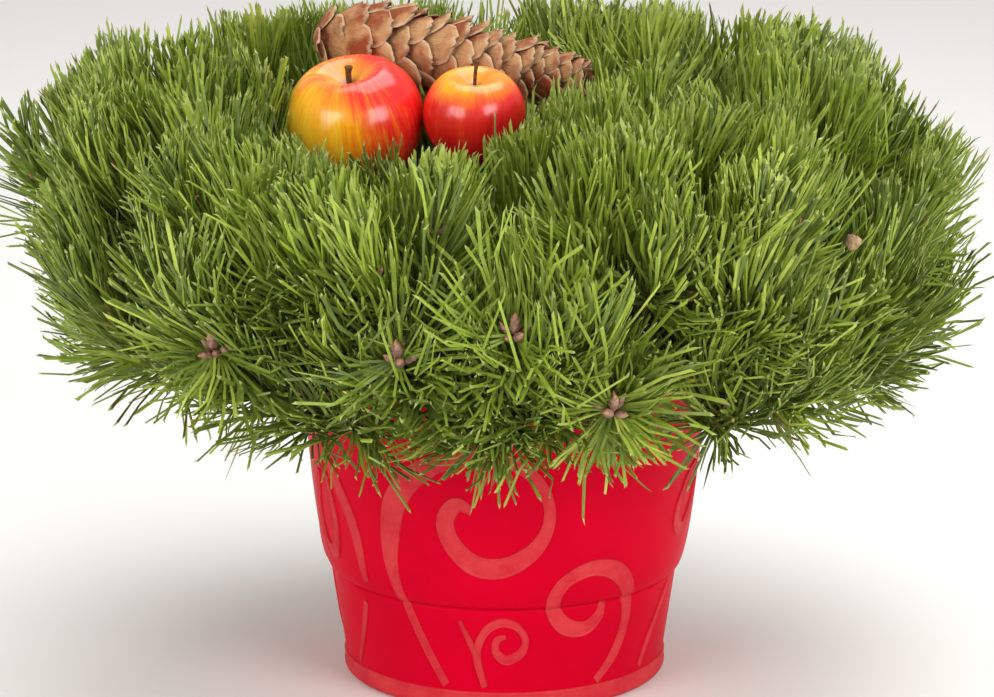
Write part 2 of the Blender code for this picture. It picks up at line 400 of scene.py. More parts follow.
# Raised scrolls on the pot: route points as (degrees round from the front, height, half width) in mm
scrollRoutes = {
    "bigScroll": [
        (-21, 14, 2.6), (-28, 36, 2.8), (-34, 60, 2.9), (-36.5, 80, 4.6), (-36, 98, 6.6), (-33.5, 117, 7.4),
        (-27, 133, 6.6), (-17, 144, 5.4), (-5, 147, 4.4), (5, 141, 3.8), (11.5, 127, 3.4), (13, 110, 3.6),
        (9, 95, 4.8), (0, 85, 6.0), (-9, 86, 6.2), (-15.5, 97, 5.6), (-17.5, 110, 5.2), (-14, 120, 4.4),
        (-9.5, 117, 2.4),
    ],
    "rightScroll": [
        (34, 13, 2.4), (41, 27, 3.4), (44.5, 45, 3.6), (43, 62, 4.8), (37, 76, 5.6), (28, 81, 4.6),
        (19, 75, 4.0), (15.5, 62, 4.6), (19.5, 49, 5.2), (27, 45, 4.4), (32.5, 51, 3.6), (33.5, 60, 2.0),
    ],
    "smallScroll": [
        (-7, 14, 2.2), (-9.5, 32, 2.6), (-7, 45, 2.6), (-2, 51.5, 2.6), (3.5, 50, 2.4), (7, 42, 2.2),
        (5.5, 34, 2.8), (0.5, 30, 3.0), (-3, 35, 2.6), (-2.5, 42, 2.2), (0.5, 43.5, 1.2),
    ],
    "smallBranch": [(-9, 30, 2.0), (-12, 41, 1.9), (-15, 52, 1.2)],
    "leafBand": [(-62, 128, 4.2), (-55, 110, 4.4), (-50.5, 92, 4.0), (-49, 66, 2.4)],
    "leafLoop": [
        (-68, 128, 1.6), (-63, 110, 2.4), (-61.5, 92, 3.4), (-65, 76, 4.6), (-71, 80, 3.2), (-73, 98, 2.2),
        (-70, 120, 1.4),
    ],
    "lowBand": [(-53, 52, 2.0), (-57, 34, 2.2), (-63, 14, 1.8)],
    "rightLoop": [
        (77, 122, 1.6), (70, 118, 2.2), (64, 104, 2.6), (64, 92, 4.2), (69, 88, 3.4), (74, 98, 2.2),
        (78, 112, 1.4),
    ],
    "rightStem": [(71, 56, 1.6), (65, 42, 2.0), (59, 26, 2.2), (56, 14, 1.8)],
}
scrollLook = {
    "relief": 0.0009,
    "spacing": 0.0011,
    "routeStep": 0.002,
    "groups": (0.0, 133.0, 227.0),  # where each set of scrolls is turned to
    "backSets": ("bigScroll", "rightScroll", "smallScroll", "smallBranch"),
}
# half of a band's section: share of its half width and of its relief, from the middle to the edge
bandSection = ((0.0, 0.78), (0.35, 0.72), (0.62, 0.52), (0.74, 0.46), (0.84, 0.95), (0.93, 0.9), (1.0, 0.0))


def smoothRows(points, step, axes):
    # a curve through rows of numbers, with a row for each step of length along the first few of them
    rows = np.array(points, float)
    ends = np.vstack([2 * rows[0] - rows[1], rows, 2 * rows[-1] - rows[-2]])
    found = []
    for index in range(1, len(ends) - 2):
        before, here, after, beyond = ends[index - 1 : index + 3]
        count = max(2, int(np.linalg.norm((after - here)[:axes]) / step))
        for share in np.arange(count) / count:
            bend = (2 * before - 5 * here + 4 * after - beyond) * share**2
            twist = (3 * here - before - 3 * after + beyond) * share**3
            found.append(0.5 * (2 * here + (after - before) * share + bend + twist))
    found.append(rows[-1])
    return np.array(found)


def scrollTree():
    shape = potShape
    graph, inputs = newTree("scroll_bands", [
        ("Section", "NodeSocketObject", None),
        ("Spacing", "NodeSocketFloat", 0.001),
        ("Relief", "NodeSocketFloat", 0.001),
        ("Rim Radius", "NodeSocketFloat", 0.11),
        ("Pot Height", "NodeSocketFloat", 0.18),
        ("Seam Radius", "NodeSocketFloat", 0.093),
        ("Seam Height", "NodeSocketFloat", 0.059),
        ("Foot Radius", "NodeSocketFloat", 0.086),
        ("Foot Height", "NodeSocketFloat", 0.011),
        ("Material", "NodeSocketMaterial", None),
    ])
    route = graph.add("GeometryNodeMeshToCurve", {}, {"Mesh": inputs["Geometry"]})
    lengths = {"Curve": route, "Length": inputs["Spacing"]}
    even = graph.add("GeometryNodeResampleCurve", {"mode": "LENGTH"}, lengths)
    width = graph.attribute("thickness")
    flat = graph.add("GeometryNodeSetCurveNormal", {"mode": "Z_UP"}, {"Curve": even})
    section = graph.add("GeometryNodeObjectInfo", {}, {"Object": inputs["Section"]}, "Geometry")
    outline = graph.add("GeometryNodeMeshToCurve", {}, {"Mesh": section})
    values = {"Curve": flat, "Profile Curve": outline, "Scale": width, "Fill Caps": True}
    band = graph.add("GeometryNodeCurveToMesh", {}, values)
    place = graph.add("GeometryNodeInputPosition")
    split = graph.add("ShaderNodeSeparateXYZ", {}, {"Vector": place})
    height = split.output("Y")
    proud = split.output("Z") / width * inputs["Relief"]
    turn = split / inputs["Rim Radius"]
    footShare = (height - inputs["Foot Height"]) / (inputs["Seam Height"] - inputs["Foot Height"])
    lower = inputs["Foot Radius"] + (inputs["Seam Radius"] - inputs["Foot Radius"]) * footShare
    rise = (height - inputs["Seam Height"]) / (inputs["Pot Height"] - inputs["Seam Height"])
    belly = rise.maths("MAXIMUM", rise, 0.0) ** 0.5
    upper = inputs["Seam Radius"] + (inputs["Rim Radius"] - inputs["Seam Radius"]) * belly
    above = rise.maths("GREATER_THAN", rise, 0.0)
    fromSeam = (height - inputs["Seam Height"]) / shape["seamWidth"]
    groove = 2.718 ** (0.0 - fromSeam * fromSeam) * shape["seamDepth"]
    radius = lower + (upper - lower) * above + proud - groove
    aroundX = radius * turn.maths("SINE", turn)
    aroundY = 0.0 - radius * turn.maths("COSINE", turn)
    wrapped = graph.add("ShaderNodeCombineXYZ", {}, {"X": aroundX, "Y": aroundY, "Z": height})
    onPot = graph.add("GeometryNodeSetPosition", {}, {"Geometry": band, "Position": wrapped})
    smooth = graph.add("GeometryNodeSetShadeSmooth", {}, {"Geometry": onPot})
    return closeTree(graph, smooth, inputs["Material"])


def pathsMesh(name, paths, channels):
    # open lines of points in one mesh; each row of a path is x, y, z and then its channels' values
    rows = np.vstack(paths)
    edges = []
    start = 0
    for path in paths:
        edges += [(index, index + 1) for index in range(start, start + len(path) - 1)]
        start += len(path)
    mesh = meshOf(name, rows[:, :3], edges)
    for index, channel in enumerate(channels):
        storeFloats(mesh, channel, rows[:, 3 + index])
    return mesh


def scrollMesh():
    rim = potShape["rim"]
    paths = []
    for number, turn in enumerate(scrollLook["groups"]):
        for name, points in scrollRoutes.items():
            if number and name not in scrollLook["backSets"]:
                continue
            route = [(rim * math.radians(angle), high / 1000, wide / 1000) for angle, high, wide in points]
            rows = smoothRows(route, scrollLook["routeStep"], 2)
            arc = rows[:, 0] + rim * math.radians(turn)
            flat = np.zeros(len(rows))
            paths.append(np.column_stack([arc, rows[:, 1], flat, rows[:, 2]]))
    around = [(-share, relief) for share, relief in bandSection[::-1]] + list(bandSection[1:])
    points = [(share, -relief, 0.0) for share, relief in around] + [(0.9, 0.6, 0.0), (-0.9, 0.6, 0.0)]
    edges = [(index, (index + 1) % len(points)) for index in range(len(points))]
    section = newObject("section", meshOf("section", points, edges))
    inputs = {
        "Section": section,
        "Spacing": scrollLook["spacing"],
        "Relief": scrollLook["relief"],
        "Rim Radius": rim,
        "Pot Height": potShape["height"],
        "Seam Radius": potShape["seamRadius"],
        "Seam Height": potShape["seamHeight"],
        "Foot Radius": potShape["ringRadius"] - potShape["ringStep"],
        "Foot Height": potShape["ringHeight"],
    }
    made = runTree(scrollTree(), pathsMesh("routes", paths, ["thickness"]), inputs)
    bpy.data.objects.remove(section)
    return facingOut(made)


def glazeMaterial():
    material, graph, shader = newMaterial("crimson glaze", 0.42, Specular_IOR_Level=0.03)
    place = objectPlace(graph)
    cloud = speckle(graph, place, 14.0, 4.0)
    fine = speckle(graph, place, 260.0, 2.0)
    base = blendColours(graph, ease(cloud, 0.35, 0.7), paint(199, 0, 41), paint(189, 0, 38))
    feed(base, shader, "Base Color")
    feed(0.34 + fine * 0.1, shader, "Roughness")
    bump(graph, shader, fine + cloud * 2.0, 0.0002, 0.25)
    return material


def coralMaterial():
    material, graph, shader = newMaterial("matte coral", 0.6, Specular_IOR_Level=0.18)
    place = objectPlace(graph)
    cloud = speckle(graph, place, 55.0, 5.0, 0.7)
    grit = speckle(graph, place, 600.0, 3.0, 0.7)
    base = blendColours(graph, ease(cloud, 0.3, 0.72), paint(198, 56, 60), paint(186, 30, 46))
    pale = ease(grit, 0.58, 0.74) * 0.35
    feed(blendColours(graph, pale, base, paint(210, 78, 74)), shader, "Base Color")
    feed(0.5 + grit * 0.2, shader, "Roughness")
    bump(graph, shader, grit + cloud, 0.0003, 0.4)
    return material


print("making the pot")
coral = coralMaterial()
potWall = turnedMesh("pot_wall", potProfile(), potShape["segments"])
footRing = turnedMesh("pot_foot_ring", ringProfile(), potShape["segments"])
finishPiece("pot_wall", potWall, glazeMaterial(), ["pot"])
finishPiece("pot_foot_ring", footRing, coral)
finishPiece("pot_scrolls", scrollMesh(), coral)


# Soil: a low, lumpy bed inside the wall
soilLook = {
    "top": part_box("soil")[1].z - 0.001,
    "inset": 0.0005,
    "depth": 0.02,
    "rings": 34,
    "lump": 0.0012,
    "lumpGrain": 260.0,
    "crumbs": 900,
    "crumbSize": (0.0012, 0.0034),
    "seed": 5,
}


def soilMaterial():
    material, graph, shader = newMaterial("potting soil", 0.95, Specular_IOR_Level=0.2)
    place = objectPlace(graph)
    coarse = speckle(graph, place, 130.0, 6.0, 0.75)
    base = blendColours(graph, ease(coarse, 0.35, 0.65), paint(48, 34, 24), paint(96, 74, 54))
    feed(base, shader, "Base Color")
    bump(graph, shader, coarse, 0.002, 0.7)
    return material


def soilMesh():
    top = soilLook["top"]
    outer = wallRadius(top) - potShape["wall"] - soilLook["inset"]
    low = top - soilLook["depth"]
    profile = [(outer * ring / soilLook["rings"], top) for ring in range(soilLook["rings"] + 1)]
    profile += [(outer - 0.001, top - 0.004), (outer - 0.001, low), (0.0, low)]
    mesh = turnedMesh("soil_bed", profile, 120)
    for vertex in mesh.vertices:
        if vertex.co.z > top - 0.001:
            spot = vertex.co * soilLook["lumpGrain"]
            vertex.co.z += soilLook["lump"] * (math.sin(spot.x) * math.cos(spot.y * 1.3) - 0.6)
    return mesh


def copiesTree():
    # stands a copy at each point, in the point's own directions and size
    graph, inputs = newTree("standing_copies", [
        ("Copy", "NodeSocketObject", None),
        ("Material", "NodeSocketMaterial", None),
    ])
    points = graph.add("GeometryNodeMeshToPoints", {}, {"Mesh": inputs["Geometry"]})
    towards = graph.attribute("towards", "FLOAT_VECTOR")
    face = graph.attribute("face", "FLOAT_VECTOR")
    axes = {"primary_axis": "Z", "secondary_axis": "X"}
    turn = graph.add("FunctionNodeAxesToRotation", axes, {"Primary Axis": towards, "Secondary Axis": face})
    shape = graph.add("GeometryNodeObjectInfo", {}, {"Object": inputs["Copy"]}, "Geometry")
    values = {"Points": points, "Instance": shape, "Rotation": turn, "Scale": graph.attribute("size")}
    copies = graph.add("GeometryNodeInstanceOnPoints", {}, values)
    return closeTree(graph, copies, inputs["Material"])


standingCopies = copiesTree()


def standCopies(shapeMesh, rows):
    # rows of place, towards, face, size
    places = meshOf("places", [row[0] for row in rows])
    storeVectors(places, "towards", [row[1] for row in rows])
    storeVectors(places, "face", [row[2] for row in rows])
    storeFloats(places, "size", [row[3] for row in rows])
    shape = newObject("copy", shapeMesh)
    made = runTree(standingCopies, places, {"Copy": shape})
    bpy.data.objects.remove(shape)
    return made


def anyDirection(dice):
    height = dice.uniform(-1.0, 1.0)
    turn = dice.uniform(0.0, math.tau)
    level = math.sqrt(1.0 - height * height)
    return Vector((level * math.cos(turn), level * math.sin(turn), height))


def crumbMesh():
    dice = random.Random(soilLook["seed"])
    shape = bmesh.new()
    bmesh.ops.create_icosphere(shape, subdivisions=1, radius=0.5)
    for vertex in shape.verts:
        vertex.co *= dice.uniform(0.7, 1.15)
    crumb = bpy.data.meshes.new("crumb")
    shape.to_mesh(crumb)
    shape.free()
    reach = wallRadius(soilLook["top"]) - potShape["wall"] - 0.005
    rows = []
    for _ in range(soilLook["crumbs"]):
        turn = dice.uniform(0.0, math.tau)
        out = reach * math.sqrt(dice.random())
        size = dice.uniform(*soilLook["crumbSize"])
        place = Vector((out * math.cos(turn), out * math.sin(turn), soilLook["top"] - 0.0002))
        rows.append((place, anyDirection(dice), anyDirection(dice), size))
    return standCopies(crumb, rows)


print("making the soil")
soilFinish = soilMaterial()
finishPiece("soil_bed", soilMesh(), soilFinish, ["soil"])
finishPiece("soil_crumbs", crumbMesh(), soilFinish)


# Apples
appleLook = {
    "segments": 96,
    "steps": 72,
    "topHollow": (0.42, 0.35),  # depth as a share of the radius, and width in radians
    "lowHollow": (0.15, 0.34),
    "lobes": 5.0,
    "lobeDepth": 0.012,
    "shoulders": 0.05,  # how much the half near the stem is widened and the other narrowed
    "lopsided": 0.012,
    "large": {
        "node": "apple_large",
        "at": Vector((-0.0790, 0.0030, 0.3020)),
        "radius": 0.0368,
        "tilt": (12.0, -9.0),
        "squash": 0.96,
        "stemLength": 0.0120,
        "stemLean": 0.0012,
        "stemWidth": 0.0016,
    },
    "small": {
        "node": "apple_small",
        "at": Vector((-0.0158, -0.0100, 0.3075)),
        "radius": 0.0272,
        "tilt": (10.0, 0.0),
        "squash": 1.0,
        "stemLength": 0.0165,
        "stemLean": 0.0012,
        "stemWidth": 0.0010,
    },
}
apples = (appleLook["large"], appleLook["small"])


def tiltOf(fruit):
    turnX, turnY = fruit["tilt"]
    return Euler((math.radians(turnX), math.radians(turnY), 0.0)).to_matrix()


def dent(name, angle):
    depth, width = appleLook[name]
    return depth * math.exp(-((angle / width) ** 2))


def applePoint(fruit, angle, turn):
    # angle runs from the stem down to the eye
    radius = fruit["radius"]
    hollows = math.cos(angle) - dent("topHollow", angle) + dent("lowHollow", math.pi - angle)
    height = radius * hollows * fruit["squash"]
    wave = math.cos(appleLook["lobes"] * turn + 0.6)
    lobes = 1.0 + appleLook["lobeDepth"] * wave * math.sin(angle) * abs(math.cos(angle))
    width = radius * math.sin(angle) * (1.0 + appleLook["shoulders"] * math.cos(angle)) * lobes
    width *= 1.0 - appleLook["lopsided"] * math.cos(turn - 0.9)
    return Vector((width * math.cos(turn), width * math.sin(turn), height))


def appleMesh(fruit):
    angles = [math.pi * step / appleLook["steps"] for step in range(appleLook["steps"] + 1)]
    rings = [(math.sin(angle), angle) for angle in angles]

    def placeAt(radius, angle, turn):
        return applePoint(fruit, angle, turn)

    mesh = turnedMesh(fruit["node"], rings, appleLook["segments"], placeAt)
    mesh.transform(Matrix.Translation(fruit["at"]) @ tiltOf(fruit).to_4x4())
    return mesh


def peelMaterial(name, fruit, look):
    # from yellow through orange to red, in streaks that run from stem to eye
    material, graph, shader = newMaterial(name, 0.2, Specular_IOR_Level=0.6)
    size = (1.0 / fruit["radius"],) * 3
    turn = tuple(tiltOf(fruit).transposed().to_euler())
    place = objectPlace(graph, fruit["at"], turn, size)
    level = graph.add("ShaderNodeVectorMath", {"operation": "MULTIPLY"}, {0: place, 1: (1.0, 1.0, 0.0)})
    around = graph.add("ShaderNodeVectorMath", {"operation": "NORMALIZE"}, {0: level})
    out = graph.add("ShaderNodeVectorMath", {"operation": "LENGTH"}, {0: level}, "Value")
    split = graph.add("ShaderNodeSeparateXYZ", {}, {"Vector": place})
    height = split.output("Z")
    lift = graph.add("ShaderNodeCombineXYZ", {}, {"Z": height * 0.12})
    wrapped = graph.add("ShaderNodeVectorMath", {"operation": "ADD"}, {0: around, 1: lift})
    streaks = speckle(graph, wrapped, 12.0, 5.0, 0.75)
    broad = speckle(graph, wrapped, 2.4, 3.0, 0.5)
    blotch = speckle(graph, place, 2.2, 4.0, 0.6)
    shoulder = ease(height, 0.35, 0.85)
    hollow = 1.0 - ease(out, 0.16, 0.5)
    tone = split * look["side"] + look["base"] + shoulder * look["shoulder"] - height * look["fade"]
    tone = tone + (broad - 0.5) * look["broad"] + (blotch - 0.5) * 0.4 + (streaks - 0.5) * look["streaks"]
    stops = [
        (0.0, paint(255, 196, 52)), (0.22, paint(252, 166, 28)), (0.45, paint(240, 110, 36)),
        (0.68, paint(230, 48, 36)), (1.0, paint(208, 8, 34)),
    ]
    skin = graph.add("ShaderNodeValToRGB", {"stops": stops}, {0: tone})
    dots = graph.add("ShaderNodeTexVoronoi", {"feature": "F1"}, {"Vector": place, "Scale": 11.0})
    dot = 1.0 - ease(dots, 0.03, 0.06)
    speckled = blendColours(graph, dot * 0.35, skin, paint(250, 214, 150))
    inside = blendColours(graph, ease(out, 0.06, 0.2), paint(120, 70, 30), paint(236, 150, 50))
    feed(blendColours(graph, hollow * ease(height, 0.4, 0.6), speckled, inside), shader, "Base Color")
    feed(0.15 + blotch * 0.1, shader, "Roughness")
    bump(graph, shader, streaks + broad, 0.0002, 0.2)
    return material


def limbTree():
    # a round limb along each line, with rough bark
    graph, inputs = newTree("limbs", [
        ("Sides", "NodeSocketInt", 8),
        ("Relief", "NodeSocketFloat", 0.1),
        ("Grain", "NodeSocketFloat", 300.0),
        ("Material", "NodeSocketMaterial", None),
    ])
    lines = graph.add("GeometryNodeMeshToCurve", {}, {"Mesh": inputs["Geometry"]})
    thickness = graph.attribute("thickness")
    around = {"Resolution": inputs["Sides"], "Radius": 1.0}
    circle = graph.add("GeometryNodeCurvePrimitiveCircle", {}, around)
    values = {"Curve": lines, "Profile Curve": circle, "Scale": thickness, "Fill Caps": True}
    skin = graph.add("GeometryNodeCurveToMesh", {}, values)
    place = graph.add("GeometryNodeInputPosition")
    drawn = graph.add("ShaderNodeVectorMath", {"operation": "MULTIPLY"}, {0: place, 1: (1.0, 1.0, 0.4)})
    rough = graph.add("ShaderNodeTexNoise", {}, {"Vector": drawn, "Scale": inputs["Grain"], "Detail": 3.0})
    out = (rough - 0.62) * inputs["Relief"] * thickness
    normal = graph.add("GeometryNodeInputNormal")
    offset = graph.add("ShaderNodeVectorMath", {"operation": "SCALE"}, {0: normal, "Scale": out})
    moved = graph.add("GeometryNodeSetPosition", {}, {"Geometry": skin, "Offset": offset})
    smooth = graph.add("GeometryNodeSetShadeSmooth", {}, {"Geometry": moved})
    return closeTree(graph, smooth, inputs["Material"])


limbs = limbTree()


def barkMaterial(name, dark, light, grain):
    material, graph, shader = newMaterial(name, 0.85, Specular_IOR_Level=0.25)
    place = objectPlace(graph, scale=(1.0, 1.0, 0.5))
    rough = speckle(graph, place, grain, 6.0, 0.7)
    feed(blendColours(graph, ease(rough, 0.36, 0.66), dark, light), shader, "Base Color")
    bump(graph, shader, rough, 0.001, 0.6)
    return material


def appleStemMesh():
    paths = []
    for fruit in apples:
        turned = tiltOf(fruit)
        foot = fruit["at"] + turned @ (applePoint(fruit, 0.0, 0.0) - up * 0.001)
        rows = []
        for step in range(13):
            share = step / 12
            place = foot + turned @ (up * (fruit["stemLength"] * share))
            place.x += fruit["stemLean"] * share**2
            knob = 1.0 + 0.5 * share**6
            rows.append((*place, fruit["stemWidth"] * knob))
        paths.append(np.array(rows))
    inputs = {"Sides": 12, "Relief": 0.5, "Grain": 700.0}
    return runTree(limbs, pathsMesh("stems", paths, ["thickness"]), inputs)


print("making the apples")
largeApple, smallApple = apples
streakedLook = {"base": 0.38, "side": 0.48, "shoulder": 0.20, "fade": 0.04, "broad": 0.5, "streaks": 1.0}
redLook = {"base": 0.84, "side": 0.12, "shoulder": -0.42, "fade": 0.14, "broad": 0.3, "streaks": 0.5}
largePeel = peelMaterial("streaked peel", largeApple, streakedLook)
smallPeel = peelMaterial("red peel", smallApple, redLook)
finishPiece("apple_large_fruit", appleMesh(largeApple), largePeel, ["apple_large"])
finishPiece("apple_small_fruit", appleMesh(smallApple), smallPeel, ["apple_small"])
stemFinish = barkMaterial("apple stem", paint(58, 38, 26), paint(120, 84, 56), 900.0)
finishPiece("apple_stems", appleStemMesh(), stemFinish)


# Cone: woody scales in a spiral round a spindle, open towards the thin end
coneLook = {
    "fatEnd": Vector((-0.101, 0.064, 0.334)),
    "thinEnd": Vector((0.047, 0.036, 0.316)),
    "radius": 0.0225,
    "taper": 0.68,
    "spindle": 0.56,  # the spindle's share of the cone's radius
    "scaleLength": 0.0300,
    "scaleWidth": 0.0265,
    "sizeSpread": (0.88, 1.1),
    "coverage": 0.00025,  # skin in square metres that one full-size scale covers
    "covered": 0.955,  # how far along the cone the scales go
    "open": math.radians(21.0),
    "footOpen": 48.0,  # degrees more for the scales at the fat end
    "openSpread": (-6.0, 8.0),
    "facing": 0.16,  # how far a scale may face aside
    "kinds": 4,
    "seed": 11,
}
# one scale: its thickness at the rim and what the middle adds, how its face bends, and how its end runs
scaleShape = {
    "thin": 0.0005,
    "thick": 0.0016,
    "cup": 0.0022,
    "curl": 0.0030,
    "droop": 0.0014,
    "twist": 0.0013,
    "wave": 0.0006,
    "point": 0.04,
    "ragged": 0.035,
    "grid": (9, 8),
}
coneAxis = (coneLook["thinEnd"] - coneLook["fatEnd"]).normalized()
coneLength = (coneLook["thinEnd"] - coneLook["fatEnd"]).length


def coneRadius(share):
    blunt = math.sqrt(1.0 - (1.0 - min(share / 0.22, 1.0)) ** 2 * 0.72)
    return coneLook["radius"] * blunt * (1.0 - coneLook["taper"] * share**1.5)


def scaleHalf(along):
    # the half width of a scale, widest past its middle, as a share of the most
    if along < 0.6:
        return 0.45 + 0.55 * math.sin(math.pi / 2 * along / 0.6)
    return max(1.0 - ((along - 0.6) / 0.4) ** 3.2, 0.10) ** 0.5


def coneScaleMesh(kind):
    # its length runs along Z and its outer face towards X; it is thick in the middle and uneven at the rim
    shape = scaleShape
    dice = random.Random(coneLook["seed"] + kind)
    length, width = coneLook["scaleLength"], coneLook["scaleWidth"]
    twist, curl, wave = dice.uniform(-1.0, 1.0), dice.uniform(0.5, 1.5), dice.uniform(0.0, math.tau)
    columns, rows = shape["grid"]
    points, rims, fibres = [], [], []
    for side in (1.0, 0.0):
        for row in range(rows):
            along = row / (rows - 1)
            for column in range(columns):
                across = 2.0 * column / (columns - 1) - 1.0
                crown = 1.0 - across * across
                swell = crown * math.sin(math.pi * min(along, 0.97)) ** 0.7
                thick = shape["thin"] + shape["thick"] * swell
                ripple = math.sin(across * 5.0 + wave) + 0.5 * math.sin(across * 13.0 - wave)
                ragged = ripple * along * along
                face = shape["cup"] * crown + shape["curl"] * curl * along**3
                face -= shape["droop"] * abs(across) ** 3 * along
                face += shape["twist"] * twist * across * along**2 + shape["wave"] * ragged
                rim = shape["point"] * crown + shape["ragged"] * ragged
                reach = length * (along + rim * max(along - 0.7, 0.0) / 0.3)
                points.append((face + side * thick, across * scaleHalf(along) * width / 2, reach))
                rims.append(max(abs(across) ** 3, max(along - 0.72, 0.0) / 0.28))
                fibres.append((across * 1.6, along * 0.35, kind * 3.7))
    layer = columns * rows
    faces = []
    for row in range(rows - 1):
        for column in range(columns - 1):
            corner = row * columns + column
            quad = (corner, corner + 1, corner + columns + 1, corner + columns)
            faces.append(quad)
            faces.append(tuple(index + layer for index in quad[::-1]))
    edge = list(range(columns))
    edge += [row * columns + columns - 1 for row in range(1, rows)]
    edge += [layer - 1 - column for column in range(1, columns)]
    edge += [row * columns for row in range(rows - 2, 0, -1)]
    for here, after in zip(edge, edge[1:] + edge[:1]):
        faces.append((after, here, here + layer, after + layer))
    mesh = meshOf("cone_scale", points, (), faces)
    storeFloats(mesh, "rim", rims)
    storeVectors(mesh, "fibre", fibres)
    mesh.shade_smooth()
    return facingOut(mesh)


def coneScaleRows():
    dice = random.Random(coneLook["seed"])
    side = coneAxis.orthogonal().normalized()
    other = coneAxis.cross(side)
    rows = []
    run = 0.0
    number = 0
    while run < coneLength * coneLook["covered"]:
        share = run / coneLength
        radius = coneRadius(share)
        size = (radius / coneLook["radius"]) ** 0.85
        turn = number * goldenTurn
        outward = side * math.cos(turn) + other * math.sin(turn)
        splay = coneLook["footOpen"] * max(1.0 - share / 0.1, 0.0) + dice.uniform(*coneLook["openSpread"])
        opening = coneLook["open"] + math.radians(splay)
        towards = coneAxis * math.cos(opening) + outward * math.sin(opening)
        reach = coneLook["scaleLength"] * size
        seat = max(radius - reach * math.sin(opening) * 0.95, radius * 0.12)
        back = reach * 0.45 * math.cos(opening)
        foot = coneLook["fatEnd"] + coneAxis * (run - back + 0.002) + outward * seat
        aside = (-coneLook["facing"], coneLook["facing"])
        face = (outward + side * dice.uniform(*aside) + other * dice.uniform(*aside)).normalized()
        rows.append((foot, towards, face, size * dice.uniform(*coneLook["sizeSpread"])))
        run += coneLook["coverage"] * size * size / (math.tau * radius)
        number += 1
    return rows


def coneCoreMesh():
    profile = [(0.0, 0.0)]
    for step in range(1, 24):
        share = step / 24
        profile.append((coneRadius(share) * coneLook["spindle"], -coneLength * share))
    profile.append((0.0, -coneLength))
    mesh = turnedMesh("cone_core", profile, 28)
    turn = coneAxis.to_track_quat("-Z", "Y").to_matrix().to_4x4()
    mesh.transform(Matrix.Translation(coneLook["fatEnd"]) @ turn)
    return mesh


def coneMaterial():
    material, graph, shader = newMaterial("cone wood", 0.7, Specular_IOR_Level=0.25)
    place = objectPlace(graph)
    broad = speckle(graph, place, 48.0, 3.0)
    fine = speckle(graph, place, 420.0, 5.0, 0.7)
    rim = graph.add("ShaderNodeAttribute", {"attribute_name": "rim"}, {}, "Fac")
    along = graph.add("ShaderNodeAttribute", {"attribute_name": "fibre"}, {}, "Vector")
    fibres = speckle(graph, along, 7.0, 4.0, 0.7)
    wood = blendColours(graph, ease(broad, 0.36, 0.62), paint(142, 68, 32), paint(188, 142, 98))
    grained = blendColours(graph, ease(fibres, 0.5, 0.8) * 0.7, wood, paint(92, 48, 26))
    dull = blendColours(graph, ease(fine, 0.5, 0.8) * 0.6, grained, paint(140, 112, 84))
    pale = ease(rim + (fine - 0.5) * 0.8 + (fibres - 0.5) * 0.5, 0.6, 1.0) * 0.6
    feed(blendColours(graph, pale, dull, paint(214, 188, 156)), shader, "Base Color")
    bump(graph, shader, fine + fibres * 2.0, 0.0009, 0.7)
    return material


print("making the cone")
coneWood = coneMaterial()
coneCore = barkMaterial("cone core", paint(48, 26, 18), paint(88, 50, 34), 300.0)
finishPiece("cone_spindle", coneCoreMesh(), coneCore, ["cone"])
scaleRows = coneScaleRows()
kinds = coneLook["kinds"]
scaleMeshes = [standCopies(coneScaleMesh(kind), scaleRows[kind::kinds]) for kind in range(kinds)]
finishPiece("cone_scale_spiral", joinMeshes("cone_scales", scaleMeshes), coneWood)


# Stem and boughs: bark along the middle lines of the solids
barkLook = {"sides": 20, "relief": 0.28, "grain": 330.0, "step": 0.0022, "thinnest": 0.0008}
boughNames = sorted(name for name in nodes if name.startswith("bough_"))
massNames = sorted(name for name in nodes if name.startswith("needles_"))


def middleLine(name, ringSize, sortBy):
    # the centre and radius of each ring of corners along a limb's solid
    corners = {tuple(round(value, 6) for value in vertex.co) for vertex in nodes[name].data.vertices}
    ordered = sorted((Vector(corner) for corner in corners), key=sortBy)
    rows = []
    for start in range(0, len(ordered) - ringSize + 1, ringSize):
        ring = ordered[start : start + ringSize]
        centre = sum(ring, Vector()) / ringSize
        rows.append((*centre, sum((corner - centre).length for corner in ring) / ringSize))
    return np.array(rows)


def smoothLimb(rows):
    # a curve through rows of x, y, z and thickness
    line = smoothRows(rows, barkLook["step"], 3)
    line[:, 3] = np.maximum(line[:, 3], barkLook["thinnest"])
    return line


def boughRows(name):
    inner = Vector((0.0, 0.0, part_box(name)[0].z))
    corners = [Vector(vertex.co) for vertex in nodes[name].data.vertices]
    far = max(corners, key=lambda corner: (corner - inner).length)
    near = min(corners, key=lambda corner: corner.xy.length)
    chord = (far - near).normalized()
    return middleLine(name, 8, lambda corner: corner.dot(chord))


stemRows = middleLine("stem", 12, lambda corner: corner.z)
boughLines = {name: boughRows(name) for name in boughNames}
barkFinish = barkMaterial("grey brown bark", paint(70, 54, 42), paint(142, 118, 94), 260.0)
barkInputs = {"Sides": barkLook["sides"], "Relief": barkLook["relief"], "Grain": barkLook["grain"]}

print("making the stem and the boughs")
stemSkin = runTree(limbs, pathsMesh("stem", [smoothLimb(stemRows)], ["thickness"]), barkInputs)
finishPiece("stem_bark", stemSkin, barkFinish, ["stem"])
boughPaths = [smoothLimb(rows) for rows in boughLines.values()]
boughSkin = runTree(limbs, pathsMesh("boughs", boughPaths, ["thickness"]), barkInputs)
finishPiece("bough_bark", boughSkin, barkFinish, boughNames)


